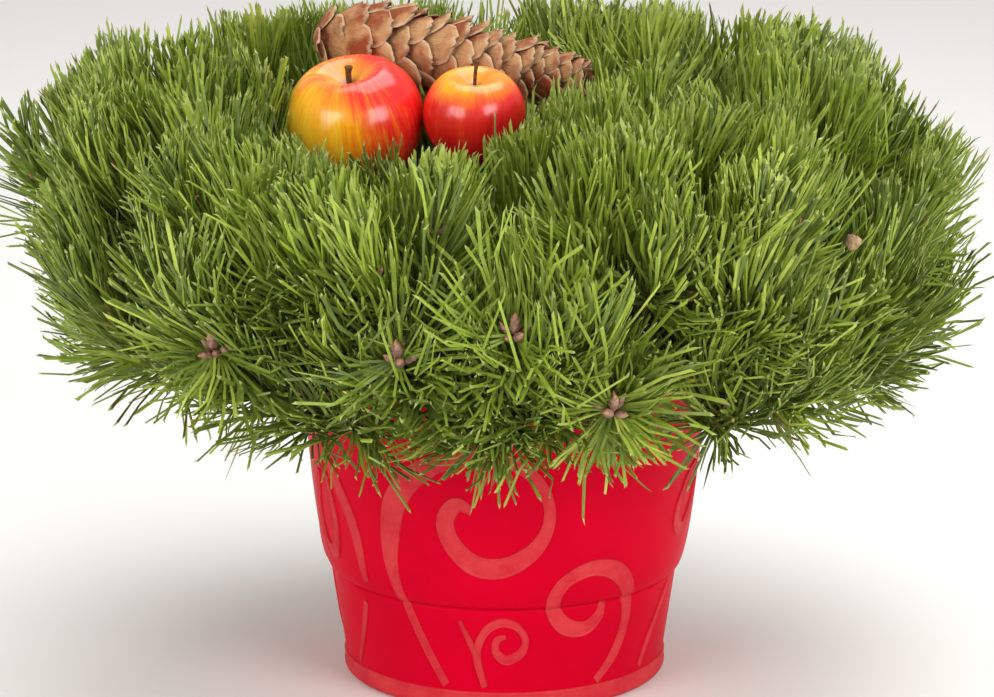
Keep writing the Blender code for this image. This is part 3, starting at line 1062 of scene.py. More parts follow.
# Crown: shoots that end under the skin of the masses, and the twigs that carry them
crownLook = {
    "middle": Vector((0.0, 0.0, 0.236)),
    "reach": 0.266,
    "rise": 0.108,
    "apart": 0.0345,
    "closest": 0.3,  # the least share of that between two tips
    "startDepth": 0.012,  # how deep under the skin the search for a tip starts
    "openAir": 0.012,  # faces of the masses with less free air than this before them aren't skin
    "shootLength": 0.045,
    "brushReach": 0.052,  # how far needles reach from the end of their shoot
    "brushLeans": (math.radians(22.0), math.radians(62.0)),
    "past": 0.003,  # how far they may end past the skin of the masses
    "unevenness": 0.006,
    "fruitDip": 0.020,  # how much lower they end before the apples
    "fruitFront": 0.034,  # and how far before them
    "upturn": 1.1,
    "wobble": (0.09, 0.09, 0.05),
    "inner": 30,  # shoots deep in the crown, which close it from above
    "innerReach": 0.205,
    "innerDepth": 0.070,
    "fruitDepth": 0.028,  # how much deeper they are under the apples and the cone
    "rimRing": (0.170, 0.212),
    "rimCount": 16,
    # rings of shoots on the boughs themselves, low in the crown: radius, height and number
    "boughRings": ((0.130, 0.226, 12), (0.172, 0.232, 9)),
    "bearing": 0.050,  # the length of shoot that carries needles
    "lineStep": 0.005,
    "twigTip": 0.0016,
    "thicken": 0.36,  # a twig's thickness grows by this power of the number of shoots it carries
    "forkAt": (0.3, 0.46),
    "forkTurn": 0.8,
    "seed": 23,
}
# bud clusters in the photo: pixel, distance out from the stem, and the width kept open before them
photoBuds = {
    "lowMiddle": ((398, 360), 0.232, 0.020),
    "middle": ((515, 335), 0.236, 0.018),
    "lowRight": ((613, 410), 0.222, 0.018),
    "left": ((215, 350), 0.236, 0.014),
    "glimpseLeft": ((243, 165), 0.178, 0.006),
    "glimpseMiddle": ((410, 265), 0.190, 0.007),
    "glimpseRight": ((712, 205), 0.165, 0.006),
}
# shoots that close gaps which the photo hasn't: pixel, and distance out from the stem, below 0 beyond it
photoFills = {
    "rimRight": ((712, 372), 0.195),
    "rimRightLow": ((724, 400), 0.190),
    "rimRightHigh": ((700, 330), 0.200),
    "rimLeft": ((322, 396), 0.205),
    "rimLeftHigh": ((338, 360), 0.215),
    "frontLeft": ((384, 398), 0.200),
    "frontHalfLeft": ((418, 388), 0.205),
    "frontMiddle": ((452, 398), 0.200),
    "frontHalfRight": ((486, 404), 0.195),
    "frontRight": ((550, 392), 0.200),
    "farLeft": ((266, 166), -0.128),
    "besideLargeApple": ((274, 222), 0.128),
    "topRight": ((674, 184), 0.095),
    "behindSmallApple": ((492, 100), -0.160),
    "farLeftHigh": ((250, 118), -0.120),
    "deepMiddle": ((500, 345), 0.145),
    "deepLeft": ((425, 335), 0.150),
    "lowRightHigh": ((752, 338), 0.215),
    "lowRightOuter": ((786, 352), 0.225),
    "lowRightUnder": ((768, 372), 0.205),
    "frontLow": ((520, 420), 0.190),
}


def massSkin():
    # all triangles of the masses, with the mass that each belongs to
    corners, faces, owners = [], [], []
    for name in massNames:
        mesh = nodes[name].data
        start = len(corners)
        corners += [vertex.co.copy() for vertex in mesh.vertices]
        for polygon in mesh.polygons:
            faces.append([start + index for index in polygon.vertices])
            owners.append(name)
    return corners, faces, owners


def outwardFrom(point):
    # the direction straight out of the crown, as out of a flattened ball
    offset = point - crownLook["middle"]
    flat = Vector((offset.x, offset.y, 0.0)) / crownLook["reach"] ** 2
    return (flat + up * (offset.z / crownLook["rise"] ** 2)).normalized()


def shootHeading(outward, dice):
    level = Vector((outward.x, outward.y, 0.0))
    lift = max(outward.z, -0.3 * level.length) + crownLook["upturn"]
    wobble = Vector([dice.gauss(0, spread) for spread in crownLook["wobble"]])
    return (level + up * lift + wobble).normalized()


def underFruit(point):
    # whether an apple or the cone lies over a place
    for fruit in apples:
        if (point.xy - fruit["at"].xy).length < fruit["radius"] * 0.92:
            return True
    along = min(max((point - coneLook["fatEnd"]).dot(coneAxis), 0.0), coneLength)
    nearest = coneLook["fatEnd"] + coneAxis * along
    return (point.xy - nearest.xy).length < coneRadius(along / coneLength) * 0.8 and point.z > 0.24


def outerSkin(corners, faces, owners):
    # the triangles of the masses that face the open air, with their middles and normals
    whole = BVHTree.FromPolygons(corners, faces)
    kept = []
    for face, owner in zip(faces, owners):
        one, two, three = (corners[corner] for corner in face)
        place = (one + two + three) / 3.0
        normal = (two - one).cross(three - one).normalized()
        if not whole.ray_cast(place + normal * 0.002, normal, crownLook["openAir"])[0]:
            kept.append((face, owner, place, normal))
    return kept


def pointAt(line, out):
    # where a line of sight comes within a distance of the stem, or leaves it again when out is below 0
    level = line.xy.length_squared
    middle = -cameraPlace.xy.dot(line.xy) / level
    miss = (cameraPlace.xy + line.xy * middle).length_squared
    return cameraPlace + line * (middle - math.copysign(math.sqrt(max(out * out - miss, 0.0) / level), out))


def beforeFruit(place):
    # where needles stay low, so that the apples show above them
    for fruit in apples:
        offset = place - fruit["at"]
        if offset.y < 0.0 and offset.xy.length < fruit["radius"] + crownLook["fruitFront"]:
            return True
    return False


def innerTips():
    # places under the whole top of the crown, spread as seeds are in a sunflower
    tips = []
    for index in range(crownLook["inner"]):
        out = crownLook["innerReach"] * math.sqrt((index + 0.5) / crownLook["inner"])
        turn = index * goldenTurn
        rise = crownLook["rise"] * math.sqrt(1.0 - (out / crownLook["reach"]) ** 2)
        place = Vector((out * math.cos(turn), out * math.sin(turn), crownLook["middle"].z + rise))
        place.z -= crownLook["innerDepth"] + crownLook["fruitDepth"] * underFruit(place)
        tips.append(place)
    # and a ring above the pot's rim, at the sides and the back
    out, height = crownLook["rimRing"]
    for index in range(crownLook["rimCount"]):
        turn = math.tau * (index + 0.5) / crownLook["rimCount"]
        if math.sin(turn) > -0.5:
            tips.append(Vector((out * math.cos(turn), out * math.sin(turn), height)))
    return tips


def brushReach(heading, way):
    # how far a brush of needles reaches from the end of its shoot in a direction
    angle = math.acos(max(-1.0, min(1.0, heading.dot(way))))
    narrow, wide = crownLook["brushLeans"]
    beside = max(narrow - angle, angle - wide, 0.0)
    return crownLook["brushReach"] * max(math.cos(beside), 0.0)


def drawnIn(tip, heading, past):
    # moves the end of a shoot inwards until its needles end just past the skin
    for _ in range(14):
        near, _, _, distance = crownSkin.find_nearest(tip)
        way = (near - tip).normalized()
        lacking = brushReach(heading, way) - past - distance
        if lacking < 0.0005:
            break
        tip = tip - way * (lacking * 0.6)
    return tip


def newShoot(tip, heading, mass, skin, clearing=0.0):
    foot = tip - heading * crownLook["shootLength"]
    return {"tip": tip, "heading": heading, "foot": foot, "mass": mass, "skin": skin, "open": clearing}


def plantShoots():
    dice = random.Random(crownLook["seed"])
    shoots = []
    for name, (pixel, out, clearing) in photoBuds.items():
        line = sightLine(pixel)
        tip = pointAt(line, out)
        skin, _, index, _ = crownSkin.find_nearest(tip)
        heading = (outwardFrom(tip) * 0.5 - line * 0.6 + up * 0.25).normalized()
        if name.startswith("glimpse"):
            heading = shootHeading(outwardFrom(tip), dice)
        shoots.append(newShoot(tip, heading, skinFaces[index][1], skin, clearing))
    for tip in [pointAt(sightLine(pixel), out) for pixel, out in photoFills.values()] + innerTips():
        index = crownSkin.find_nearest(tip)[2]
        shoots.append(newShoot(tip, shootHeading(outwardFrom(tip), dice), skinFaces[index][1], tip))
    order = list(skinFaces)
    dice.shuffle(order)
    for _, owner, place, normal in order:
        outward = outwardFrom(place)
        if outward.z < -0.8 or normal.dot(outward) < 0.0 or underFruit(place):
            continue
        if any((place - shoot["skin"]).length < crownLook["apart"] for shoot in shoots):
            continue
        heading = shootHeading(outward, dice)
        past = crownLook["past"] + dice.uniform(-1.0, 1.0) * crownLook["unevenness"]
        past -= crownLook["fruitDip"] * beforeFruit(place)
        tip = drawnIn(place - normal * crownLook["startDepth"], heading, past)
        closest = crownLook["apart"] * crownLook["closest"]
        if all((tip - shoot["tip"]).length >= closest for shoot in shoots):
            shoots.append(newShoot(tip, heading, owner, place))
    return shoots


def hermite(start, startWay, end, endWay, step):
    # a smooth line between two points that leaves and arrives in given directions
    reach = (end - start).length
    count = max(3, int(reach / step))
    found = []
    for index in range(count + 1):
        share = index / count
        square, cube = share * share, share**3
        point = start * (2 * cube - 3 * square + 1) + startWay * (reach * (cube - 2 * square + share))
        point += end * (3 * square - 2 * cube) + endWay * (reach * (cube - square))
        found.append(point)
    return found


def thicknessFor(count, most):
    # how thick a twig is that carries a number of shoots, but no thicker than what it grows from
    return min(crownLook["twigTip"] * count ** crownLook["thicken"], most)


def middleOf(group):
    return sum((shoot["foot"] for shoot in group), Vector()) / len(group)


def taperedRows(line, thick, thin):
    # the points of a line, with a thickness that changes evenly along it
    last = len(line) - 1
    return np.array([(*point, thick + (thin - thick) * index / last) for index, point in enumerate(line)])


def growFrom(start, way, group, most, dice, twigs):
    # grows a twig towards the shoots of a group, forks it, and grows each half of them from the fork
    here = thicknessFor(len(group), most)
    if len(group) == 1:
        shoot = group[0]
        shoot["line"] = hermite(start, way, shoot["tip"], shoot["heading"], crownLook["lineStep"])
        twigs.append(taperedRows(shoot["line"], here, here * 0.75))
        return
    centre = middleOf(group)
    fork = start.lerp(centre, dice.uniform(*crownLook["forkAt"]))
    ahead = (centre - start).normalized()
    line = hermite(start, way, fork, ahead, crownLook["lineStep"])
    twigs.append(taperedRows(line, here, thicknessFor(len(group) * 0.6, most)))
    offsets = np.array([tuple(shoot["foot"] - centre) for shoot in group])
    widest = Vector(np.linalg.svd(offsets, full_matrices=False)[2][0])
    ranked = sorted(group, key=lambda shoot: (shoot["foot"] - centre).dot(widest))
    half = len(ranked) // 2
    for part in (ranked[:half], ranked[half:]):
        leave = (ahead + (middleOf(part) - fork).normalized() * crownLook["forkTurn"]).normalized()
        growFrom(fork, leave, part, here, dice, twigs)


def growCrown(shoots):
    twigs = []
    dice = random.Random(crownLook["seed"] + 1)
    for name in massNames:
        group = [shoot for shoot in shoots if shoot["mass"] == name]
        if not group:
            continue
        rows = boughLines[name.replace("needles_", "bough_")]
        if np.hypot(*rows[0][:2]) > np.hypot(*rows[-1][:2]):
            rows = rows[::-1]
        end = Vector(rows[-1][:3])
        way = (end - Vector(rows[-2][:3])).normalized()
        growFrom(end, way, group, float(rows[-1][3]), dice, twigs)
    return twigs


def growBoughShoots(twigs):
    # short shoots on the boughs under the crown, which close it from straight above
    dice = random.Random(crownLook["seed"] + 2)
    bark = np.concatenate(list(boughLines.values()))
    grown = []
    for out, height, count in crownLook["boughRings"]:
        for index in range(count):
            turn = math.tau * (index + 0.5) / count
            tip = Vector((out * math.cos(turn), out * math.sin(turn), height))
            shoot = newShoot(tip, shootHeading(outwardFrom(tip), dice), None, tip)
            nearest = bark[np.argmin(np.linalg.norm(bark[:, :3] - np.array(shoot["foot"]), axis=1))]
            start = Vector(nearest[:3])
            growFrom(start, (shoot["foot"] - start).normalized(), [shoot], float(nearest[3]), dice, twigs)
            grown.append(shoot)
    return grown


print("growing the crown")
skinCorners, skinTriangles, skinOwners = massSkin()
skinFaces = outerSkin(skinCorners, skinTriangles, skinOwners)
crownSkin = BVHTree.FromPolygons(skinCorners, [face for face, _, _, _ in skinFaces])
shoots = plantShoots()
twigPaths = growCrown(shoots)
boughShoots = growBoughShoots(twigPaths)
shoots = [shoot for shoot in shoots if "line" in shoot]
print("  ", len(shoots), "shoots on", len(massNames), "masses, and", len(boughShoots), "on the boughs")
twigFinish = barkMaterial("twig bark", paint(104, 80, 56), paint(168, 136, 100), 420.0)
twigInputs = {"Sides": 7, "Relief": 0.35, "Grain": 520.0}
twigSkin = runTree(limbs, pathsMesh("twigs", twigPaths, ["thickness"]), twigInputs)
finishPiece("twigs", twigSkin, twigFinish)


# Needles: brushes round the last stretch of each shoot
needleLook = {
    "length": 0.056,
    "width": 0.0017,
    "rings": (0.0, 0.34, 0.68, 0.965),
    # the needles of one bundle: share of the length, lean and turn in degrees, arch
    "bundle": ((1.0, 5.0, 0.0, 0.24), (0.93, -4.0, 9.0, 0.32), (0.84, -7.0, -10.0, 0.15)),
    "spacing": 0.00117,
    "mixed": 3,  # the number of greens dealt to each shoot
    "spread": 0.2,
    "jitter": 0.24,
    "comb": 0.012,  # how far neighbouring needles are swept together
    "combScale": 26.0,
    "leanFoot": math.radians(56.0),
    "leanTip": math.radians(20.0),
    "leanOpen": (math.radians(80.0), math.radians(66.0)),  # the same two round a bud cluster that shows
    "sizeOpen": 1.14,
    "leanLow": math.radians(8.0),  # added to the first on low shoots
    "size": (0.9, 1.08),
    "shown": 0.008,  # the least opening of a bud cluster that shows
    "lift": 0.009,
    "hang": 0.010,  # how far the needles of the lowest shoots hang instead
    "low": (0.215, 0.03),  # the height under which shoots hang, and how far under it they do so fully
    "fresh": (0.19, 0.09),  # the height above which the greens grow paler, partly fresher needles and partly painted shade on the lower shoots, and how far up they do
    "mingled": 0.8,  # how much the greens are mixed
    "clear": 0.0012,
    "seed": 31,
    "tipColour": paint(160, 170, 90),
    "innerShadedGreen": paint(104, 124, 50),  # a darker green, painted shade, on the shoots of the boughs themselves, deep in the crown
    "innerSpacing": 1.5,
}
# how far a needle may end past the skin of the masses, and the least share of its length that is kept
trimLook = {"above": 0.010, "side": 0.011, "below": 0.030, "least": 0.004, "shortest": 0.6}
# five greens, dealt out by shoot, from the oldest and lowest to the freshest: name, colour, share; the
# darker greens low in the crown are partly older needles and partly painted shade
greens = (
    ("shade", paint(98, 116, 50), 0.18),
    ("deep", paint(116, 136, 52), 0.20),
    ("leaf", paint(132, 154, 56), 0.22),
    ("fresh", paint(144, 166, 58), 0.21),
    ("yellow", paint(166, 182, 74), 0.19),
)


def needleRing(needle, share):
    # three corners round a needle, as it stands in its bundle
    reach, lean, turn, arch = needle
    length = needleLook["length"] * reach
    foot = 0.85 + 0.15 * min(share / 0.3, 1.0)
    half = needleLook["width"] / 2 * foot * (1.0 - 0.22 * max(share - 0.6, 0.0) / 0.4)
    stand = Matrix.Rotation(math.radians(lean), 3, "Y") @ Matrix.Rotation(math.radians(turn), 3, "X")
    centre = Vector((-arch * length * share**2, 0.0, length * share))
    corners = []
    for around in (90.0, 210.0, 330.0):
        angle = math.radians(around)
        corner = Vector((half * 0.8 * math.cos(angle), half * math.sin(angle), 0.0))
        corners.append(stand @ (centre + corner))
    return corners


def bundleMesh():
    # the needles of one bundle, each a three-sided blade
    rings = needleLook["rings"]
    points, faces = [], []
    for needle in needleLook["bundle"]:
        start = len(points)
        points += [corner for share in rings for corner in needleRing(needle, share)]
        faces.append((start + 2, start + 1, start))
        for ring in range(len(rings) - 1):
            low = start + 3 * ring
            for side in range(3):
                after = (side + 1) % 3
                faces.append((low + side, low + after, low + 3 + after, low + 3 + side))
        top = start + 3 * (len(rings) - 1)
        faces.append((top, top + 1, top + 2))
    mesh = meshOf("needle_bundle", points, (), faces)
    storeFloats(mesh, "along", [share for _ in needleLook["bundle"] for share in rings for _ in range(3)])
    return facingOut(mesh)


def tipsMesh():
    # the pale blunt ends of one bundle's needles
    base = needleLook["rings"][-1]
    points, faces = [], []
    for needle in needleLook["bundle"]:
        start = len(points)
        end = needleRing(needle, 1.0)
        points += needleRing(needle, base) + [sum(end, Vector()) / 3.0]
        for face in ((2, 1, 0), (0, 1, 3), (1, 2, 3), (2, 0, 3)):
            faces.append(tuple(start + corner for corner in face))
    mesh = meshOf("needle_tips", points, (), faces)
    storeFloats(mesh, "along", [share for _ in needleLook["bundle"] for share in (base, base, base, 1.0)])
    return facingOut(mesh)


def needleTree():
    graph, inputs = newTree("needle_brushes", [
        ("Bundle", "NodeSocketObject", None),
        ("Spacing", "NodeSocketFloat", 0.0009),
        ("Spread", "NodeSocketFloat", 0.15),
        ("Jitter", "NodeSocketFloat", 0.15),
        ("Comb", "NodeSocketFloat", 0.01),
        ("Comb Scale", "NodeSocketFloat", 30.0),
        ("Seed", "NodeSocketInt", 1),
        ("Material", "NodeSocketMaterial", None),
    ])
    lines = graph.add("GeometryNodeMeshToCurve", {}, {"Mesh": inputs["Geometry"]})
    seats = {"Curve": lines, "Length": inputs["Spacing"]}
    roots = graph.add("GeometryNodeCurveToPoints", {"mode": "LENGTH"}, seats)
    seed = inputs["Seed"]
    number = graph.add("GeometryNodeInputIndex")
    turn = number * goldenTurn + graph.chance(-0.7, 0.7, seed, 0)
    jitter = inputs["Jitter"]
    lean = graph.attribute("lean") + graph.chance(-1.0, 1.0, seed, 1) * jitter
    euler = graph.add("ShaderNodeCombineXYZ", {}, {"Y": lean, "Z": turn})
    tilt = graph.add("FunctionNodeEulerToRotation", {}, {"Euler": euler})
    axis = {"Vector": roots.output("Tangent")}
    along = graph.add("FunctionNodeAlignRotationToVector", {"axis": "Z"}, axis)
    joined = {"Rotation": along, "Rotate By": tilt}
    turned = graph.add("FunctionNodeRotateRotation", {"rotation_space": "LOCAL"}, joined)
    size = graph.attribute("size") * (1.0 + graph.chance(-1.0, 0.6, seed, 2) * inputs["Spread"])
    shape = graph.add("GeometryNodeObjectInfo", {}, {"Object": inputs["Bundle"]}, "Geometry")
    values = {"Points": roots, "Instance": shape, "Rotation": turned, "Scale": size}
    placed = graph.add("GeometryNodeInstanceOnPoints", {}, values)
    solid = graph.add("GeometryNodeRealizeInstances", {}, {"Geometry": placed})
    # the outer part of each needle bends up or down, and sways with its neighbours
    share = graph.attribute("along")
    place = graph.add("GeometryNodeInputPosition")
    field = {"Vector": place, "Scale": inputs["Comb Scale"], "Detail": 1.0}
    noise = graph.add("ShaderNodeTexNoise", {}, field, "Color")
    sway = graph.add("ShaderNodeVectorMath", {"operation": "SUBTRACT"}, {0: noise, 1: (0.5, 0.5, 0.5)})
    comb = inputs["Comb"] * 4.0
    swayed = graph.add("ShaderNodeVectorMath", {"operation": "SCALE"}, {0: sway, "Scale": comb})
    lifted = graph.add("ShaderNodeCombineXYZ", {}, {"Z": graph.attribute("lift")})
    bent = graph.add("ShaderNodeVectorMath", {"operation": "ADD"}, {0: swayed, 1: lifted})
    offset = graph.add("ShaderNodeVectorMath", {"operation": "SCALE"}, {0: bent, "Scale": share * share})
    hung = graph.add("GeometryNodeSetPosition", {}, {"Geometry": solid, "Offset": offset})
    return closeTree(graph, hung, inputs["Material"])


def bearingRows(shoot):
    # the last stretch of a shoot's line, with lean, lift and size for its needles
    line = shoot["line"]
    run = 0.0
    kept = [line[-1]]
    for before, here in zip(line[-2::-1], line[:0:-1]):
        run += (here - before).length
        kept.append(before)
        if run > crownLook["bearing"]:
            break
    kept = kept[::-1]
    last = len(kept) - 1
    footLean = needleLook["leanFoot"] + needleLook["leanLow"] * shoot["low"]
    tipLean = needleLook["leanTip"]
    if shoot["open"] > needleLook["shown"]:
        footLean, tipLean = needleLook["leanOpen"]
    rows = []
    for index, point in enumerate(kept):
        share = index / last
        lean = footLean + (tipLean - footLean) * share**0.8
        rows.append((*point, lean, shoot["lift"], shoot["size"]))
    return np.array(rows)


def pushedOut(points, middles, limit):
    # the points, with those that lie nearer than a limit to their middles moved straight out to it
    offset = points - middles
    apart = np.linalg.norm(offset, axis=-1, keepdims=True)
    return np.where(apart < limit, points + offset / np.maximum(apart, 1e-6) * (limit - apart), points)


def keepClear(centres, roots):
    # pushes needle points out of the fruit, the cone and the pot's wall; gives the moved points
    clear = needleLook["clear"]
    moved = centres
    for fruit in apples:
        moved = pushedOut(moved, np.array(fruit["at"]), fruit["radius"] * 1.03 + clear)
    fat, axis = np.array(coneLook["fatEnd"]), np.array(coneAxis)
    along = np.clip((moved - fat) @ axis, 0.0, coneLength)[..., None]
    reach = coneLook["radius"] * (0.96 - 0.6 * (along / coneLength) ** 1.4)
    moved = pushedOut(moved, fat + along * axis, reach)
    radius = np.linalg.norm(moved[..., :2], axis=-1)
    belly = potShape["height"] - potShape["seamHeight"]
    share = np.clip((moved[..., 2] - potShape["seamHeight"]) / belly, 0.0, 1.0)
    outside = potShape["seamRadius"] + (potShape["rim"] - potShape["seamRadius"]) * np.sqrt(share) + clear
    inside = outside - potShape["wall"] - 2.0 * clear
    low = moved[..., 2] < potShape["height"] + 0.001
    outer = np.linalg.norm(roots[..., :2], axis=-1) > potShape["rim"] - 0.002
    target = np.where(low & outer & (radius < outside), outside, radius)
    target = np.where(low & ~outer & (radius > inside), inside, target)
    moved[..., :2] *= (target / np.maximum(radius, 1e-6))[..., None]
    bed = soilLook["top"] + 0.001
    moved[..., 2] = np.where(low & ~outer & (moved[..., 2] < bed), bed, moved[..., 2])
    return openBuds(moved)


def openBuds(centres):
    # parts the needles in front of the bud clusters that show in the photo
    moved = centres.copy()
    for shoot in shoots:
        if not shoot["open"]:
            continue
        bud, towards = np.array(shoot["tip"]), np.array((cameraPlace - shoot["tip"]).normalized())
        offset = moved - bud
        ahead = offset @ towards
        beside = offset - ahead[..., None] * towards
        apart = np.linalg.norm(beside, axis=-1)
        limit = shoot["open"] * np.clip((ahead + 0.004) / 0.014, 0.0, 1.0)
        push = np.where(apart < limit, limit - apart, 0.0)
        moved += beside / np.maximum(apart, 1e-6)[..., None] * push[..., None]
    return moved


def trimShares(centres, dice):
    # how much of each needle's length is kept, so that few end far past the skin of the masses
    shares = np.ones(len(centres))
    for index, needle in enumerate(centres):
        tip = Vector(needle[-1])
        near, normal, _, _ = crownSkin.find_nearest(tip)
        chance = dice.random()
        out = (tip - near).dot(normal)
        if normal.z > 0.5:
            limit = trimLook["above"] * chance**3
        elif normal.z > -0.1:
            limit = trimLook["side"] * (0.3 + 0.7 * chance)
        else:
            limit = trimLook["least"] + trimLook["below"] * chance**4
        if out > limit:
            rise = (tip - Vector(needle[0])).dot(normal)
            shares[index] = max(1.0 - (out - limit) / max(rise, 0.01), trimLook["shortest"])
    return shares


def pointsOf(mesh, perNeedle):
    points = np.empty(len(mesh.vertices) * 3, np.float32)
    mesh.vertices.foreach_get("co", points)
    return points.reshape(-1, perNeedle, 3).astype(float)


def putPoints(mesh, points):
    mesh.vertices.foreach_set("co", points.astype(np.float32).ravel())
    mesh.update()


def settle(body, tips, dice):
    # moves whole rings of each needle, so that a bent needle keeps its thickness, and its tip with it
    rings = len(needleLook["rings"])
    points = pointsOf(body, 3 * rings)
    ends = pointsOf(tips, 4)
    parts = points.reshape(-1, rings, 3, 3)
    centres = parts.mean(axis=2)
    roots = centres[:, :1]
    placed = roots + (centres - roots) * trimShares(centres, dice)[:, None, None]
    placed = keepClear(placed, roots)
    parts += (placed - centres)[:, :, None, :]
    ends += (placed - centres)[:, -1][:, None, :]
    putPoints(body, parts.reshape(-1, 3 * rings, 3))
    putPoints(tips, ends)


def greenMaterial(name, colour):
    material, graph, shader = newMaterial(name, 0.45, Specular_IOR_Level=0.4)
    cloud = speckle(graph, objectPlace(graph), 90.0, 2.0)
    darker = tuple(level * 0.72 for level in colour[:3]) + (1.0,)
    feed(blendColours(graph, ease(cloud, 0.3, 0.7), darker, colour), shader, "Base Color")
    return material


def dealGreens(dice):
    # gives each shoot its lift and size, and deals it several greens, darker on low shoots partly as
    # painted shade; gives the shoots for each green
    look = needleLook
    freshAndLitFrom, freshAndLitRise = look["fresh"]
    lowFrom, lowDrop = look["low"]
    deals = []
    for shoot in shoots:
        # lower shoots get darker greens: partly older needles, partly painted shade
        high = min(max((shoot["tip"].z - freshAndLitFrom) / freshAndLitRise, 0.0), 1.0)
        for _ in range(look["mixed"]):
            deals.append((high + dice.gauss(0.0, look["mingled"]), len(deals), shoot))
        low = min(max((lowFrom - shoot["tip"].z) / lowDrop, 0.0), 1.0)
        shoot["low"] = low
        shoot["lift"] = look["lift"] * (1.0 - low) - look["hang"] * low
        shoot["size"] = look["sizeOpen"] if shoot["open"] > look["shown"] else dice.uniform(*look["size"])
    ranked = [shoot for _, _, shoot in sorted(deals, key=lambda deal: deal[:2])]
    dealt = []
    reached = 0.0
    start = 0
    for _, _, share in greens:
        reached += share
        end = round(reached * len(ranked))
        dealt.append(ranked[start:end])
        start = end
    return dealt


print("growing the needles")
dealt = dealGreens(random.Random(needleLook["seed"]))
brushes = needleTree()
bundleShape = newObject("needle_bundle", bundleMesh())
tipShape = newObject("bundle_tips", tipsMesh())
tipMeshes = []
trimDice = random.Random(needleLook["seed"] + 1)
for shoot in boughShoots:
    shoot.update(low=0.0, lift=needleLook["lift"], size=1.0)
brushSets = [(name, colour, group, needleLook["mixed"]) for (name, colour, _), group in zip(greens, dealt)]
brushSets.append(("inner", needleLook["innerShadedGreen"], boughShoots, needleLook["innerSpacing"]))
for number, (setName, colour, group, wider) in enumerate(brushSets):
    rows = [bearingRows(shoot) for shoot in group]
    inputs = {
        "Spacing": needleLook["spacing"] * wider,
        "Spread": needleLook["spread"],
        "Jitter": needleLook["jitter"],
        "Comb": needleLook["comb"],
        "Comb Scale": needleLook["combScale"],
        "Seed": needleLook["seed"] + 10 * number,
    }
    body, tips = [
        runTree(brushes, pathsMesh("lines", rows, ["lean", "lift", "size"]), {**inputs, "Bundle": shape})
        for shape in (bundleShape, tipShape)
    ]
    settle(body, tips, trimDice)
    green = greenMaterial("needle " + setName, colour)
    finishPiece("needles_" + setName, body, green, massNames)
    tipMeshes.append(tips)
bpy.data.objects.remove(bundleShape)
bpy.data.objects.remove(tipShape)
tipMesh = joinMeshes("needle_tips", tipMeshes)
finishPiece("needle_tips", tipMesh, greenMaterial("needle tip", needleLook["tipColour"]))


# Buds: a cluster on the end of each shoot
budLook = {
    "length": 0.0130,
    "width": 0.0046,
    "middle": (1.0, 1.2),  # sizes of the middle bud of a cluster
    "around": (3, 4),
    "aroundSize": (0.7, 0.95),
    "aroundLean": (30.0, 58.0),
    "shown": 1.25,  # larger, more upright and with more buds where a cluster shows in the photo
    "shownRise": 0.9,
    "shownMore": 2,
    "seed": 41,
}


def budMesh():
    # a pointed bud whose scales step out ring by ring
    profile = [(0.0, budLook["length"])]
    for share in (0.84, 0.66, 0.62, 0.34, 0.30, 0.04):
        full = math.sin(math.pi * min(1.0 - share, 0.62) / 1.24) * (1.0 - 0.3 * max(0.4 - share, 0.0) / 0.4)
        step = 1.12 if share in (0.66, 0.34) else 0.92
        profile.append((budLook["width"] / 2 * full * step, budLook["length"] * share))
    profile.append((0.0, 0.0))
    mesh = turnedMesh("bud", profile, 7)
    storeFloats(mesh, "along", [vertex.co.z / budLook["length"] for vertex in mesh.vertices])
    return mesh


def budRows():
    dice = random.Random(budLook["seed"])
    rows = []
    for shoot in shoots:
        heading = shoot["heading"]
        size = 1.0
        more = 0
        if shoot["open"]:
            heading = (heading + up * budLook["shownRise"]).normalized()
            size = budLook["shown"]
            more = budLook["shownMore"]
        side = heading.orthogonal().normalized()
        other = heading.cross(side)
        rows.append((shoot["tip"], heading, side, size * dice.uniform(*budLook["middle"])))
        count = dice.randint(*budLook["around"]) + more
        start = dice.uniform(0.0, math.tau)
        for index in range(count):
            turn = start + math.tau * index / count + dice.uniform(-0.3, 0.3)
            outward = side * math.cos(turn) + other * math.sin(turn)
            lean = math.radians(dice.uniform(*budLook["aroundLean"]))
            towards = heading * math.cos(lean) + outward * math.sin(lean)
            foot = shoot["tip"] - heading * 0.002 + outward * 0.0012
            rows.append((foot, towards, outward, size * dice.uniform(*budLook["aroundSize"])))
    return rows


def budMaterial():
    # lilac brown, with an orange brown point
    material, graph, shader = newMaterial("lilac brown bud", 0.6, Specular_IOR_Level=0.3)
    place = objectPlace(graph)
    patch = speckle(graph, place, 500.0, 3.0, 0.6)
    along = graph.add("ShaderNodeAttribute", {"attribute_name": "along"}, {}, "Fac")
    base = blendColours(graph, ease(patch, 0.35, 0.65), paint(140, 100, 86), paint(186, 148, 130))
    point = ease(along + (patch - 0.5) * 0.3, 0.78, 1.0)
    feed(blendColours(graph, point, base, paint(186, 118, 78)), shader, "Base Color")
    bump(graph, shader, patch, 0.0008, 0.6)
    return material


print("setting the buds")
finishPiece("buds", standCopies(budMesh(), budRows()), budMaterial())


# Two papery scraps of old bud scale that lie among the needles: pixel, distance out from the stem, size
photoScraps = {"outer": ((850, 250), 0.236, 0.32), "inner": ((690, 301), 0.212, 0.20)}


def scrapRows():
    rows = []
    for pixel, out, size in photoScraps.values():
        place = pointAt(sightLine(pixel), out)
        towards = (up + Vector((0.3, -0.3, 0.0))).normalized()
        rows.append((place, towards, cameraPlace - place, size))
    return rows


scrapFinish = barkMaterial("papery brown", paint(150, 112, 84), paint(206, 172, 138), 500.0)
finishPiece("bud_scale_scraps", standCopies(coneScaleMesh(1), scrapRows()), scrapFinish)


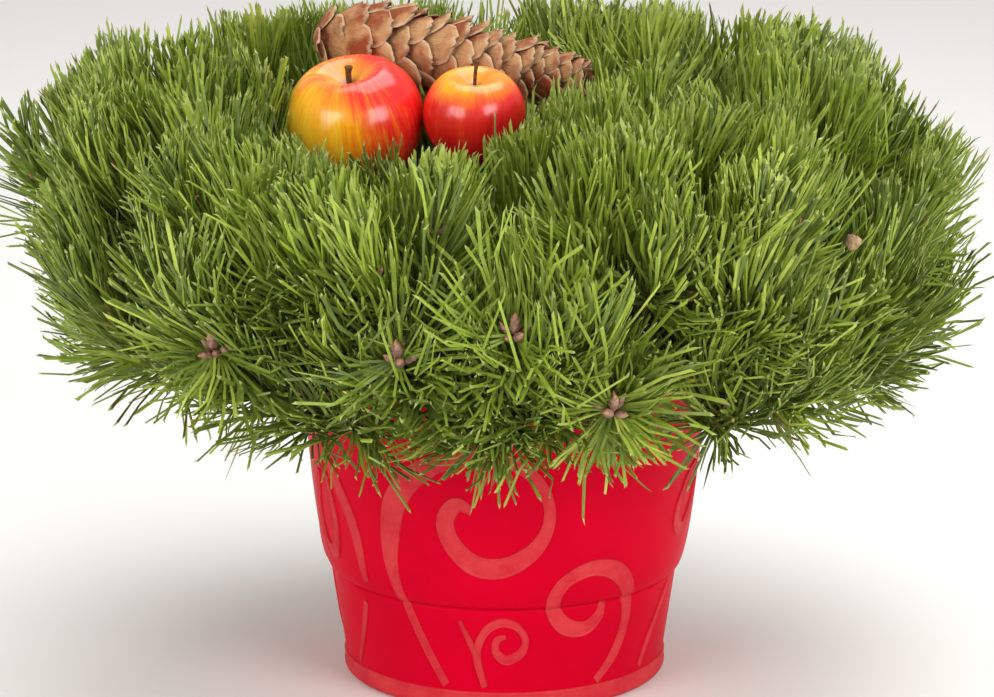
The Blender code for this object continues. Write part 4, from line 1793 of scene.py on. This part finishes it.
# Floor, lights and camera
studioLook = {
    "floorSize": 16.0,
    "floorColour": paint(236, 235, 232),
    "worldColour": (1.0, 0.985, 0.96, 1.0),
    "worldStrength": 0.52,
    "boxes": (
        # name, degrees round from the camera, degrees up, distance, width, height, watts
        ("leftSoftbox", -43.0, 13.0, 1.9, 1.1, 1.1, 20.0),
        ("rightSoftbox", 41.0, 19.0, 1.9, 1.1, 1.1, 25.0),
        ("topSoftbox", 150.0, 74.0, 1.7, 1.6, 1.6, 30.0),
    ),
}


def addStudio():
    half = studioLook["floorSize"] / 2
    corners = [(-half, -half, 0.0), (half, -half, 0.0), (half, half, 0.0), (-half, half, 0.0)]
    material, graph, shader = newMaterial("pale floor", 0.9, Specular_IOR_Level=0.1)
    faint = speckle(graph, objectPlace(graph), 3.0, 2.0)
    pale = studioLook["floorColour"]
    shade = tuple(level * 0.97 for level in pale[:3]) + (1.0,)
    feed(blendColours(graph, faint, shade, pale), shader, "Base Color")
    floor = newObject("studio_floor", meshOf("studio_floor", corners, (), [(0, 1, 2, 3)]), material)
    world = bpy.data.worlds.new("studio")
    bpy.context.scene.world = world
    world.use_nodes = True
    sky = world.node_tree.nodes["Background"]
    sky.inputs["Color"].default_value = studioLook["worldColour"]
    sky.inputs["Strength"].default_value = studioLook["worldStrength"]
    aim = photoView["aim"] + up * 0.05
    for name, around, rise, distance, width, height, watts in studioLook["boxes"]:
        light = bpy.data.lights.new(name, "AREA")
        light.shape = "RECTANGLE"
        light.size = width
        light.size_y = height
        light.energy = watts
        lamp = bpy.data.objects.new(name, light)
        bpy.context.scene.collection.objects.link(lamp)
        turn, lift = math.radians(around), math.radians(rise)
        way = Vector((math.sin(turn) * math.cos(lift), -math.cos(turn) * math.cos(lift), math.sin(lift)))
        lamp.location = aim + way * distance
        lamp.rotation_euler = way.to_track_quat("Z", "Y").to_euler()


def addCamera():
    data = bpy.data.cameras.new("photo_camera")
    data.lens = photoView["lens"]
    data.sensor_width = photoView["sensor"]
    camera = bpy.data.objects.new("photo_camera", data)
    bpy.context.scene.collection.objects.link(camera)
    camera.location = cameraPlace
    camera.rotation_euler = (math.pi / 2 - lookDown, 0.0, 0.0)
    bpy.context.scene.camera = camera


print("setting the studio")
addStudio()
addCamera()
bpy.context.scene.view_settings.view_transform = "Standard"
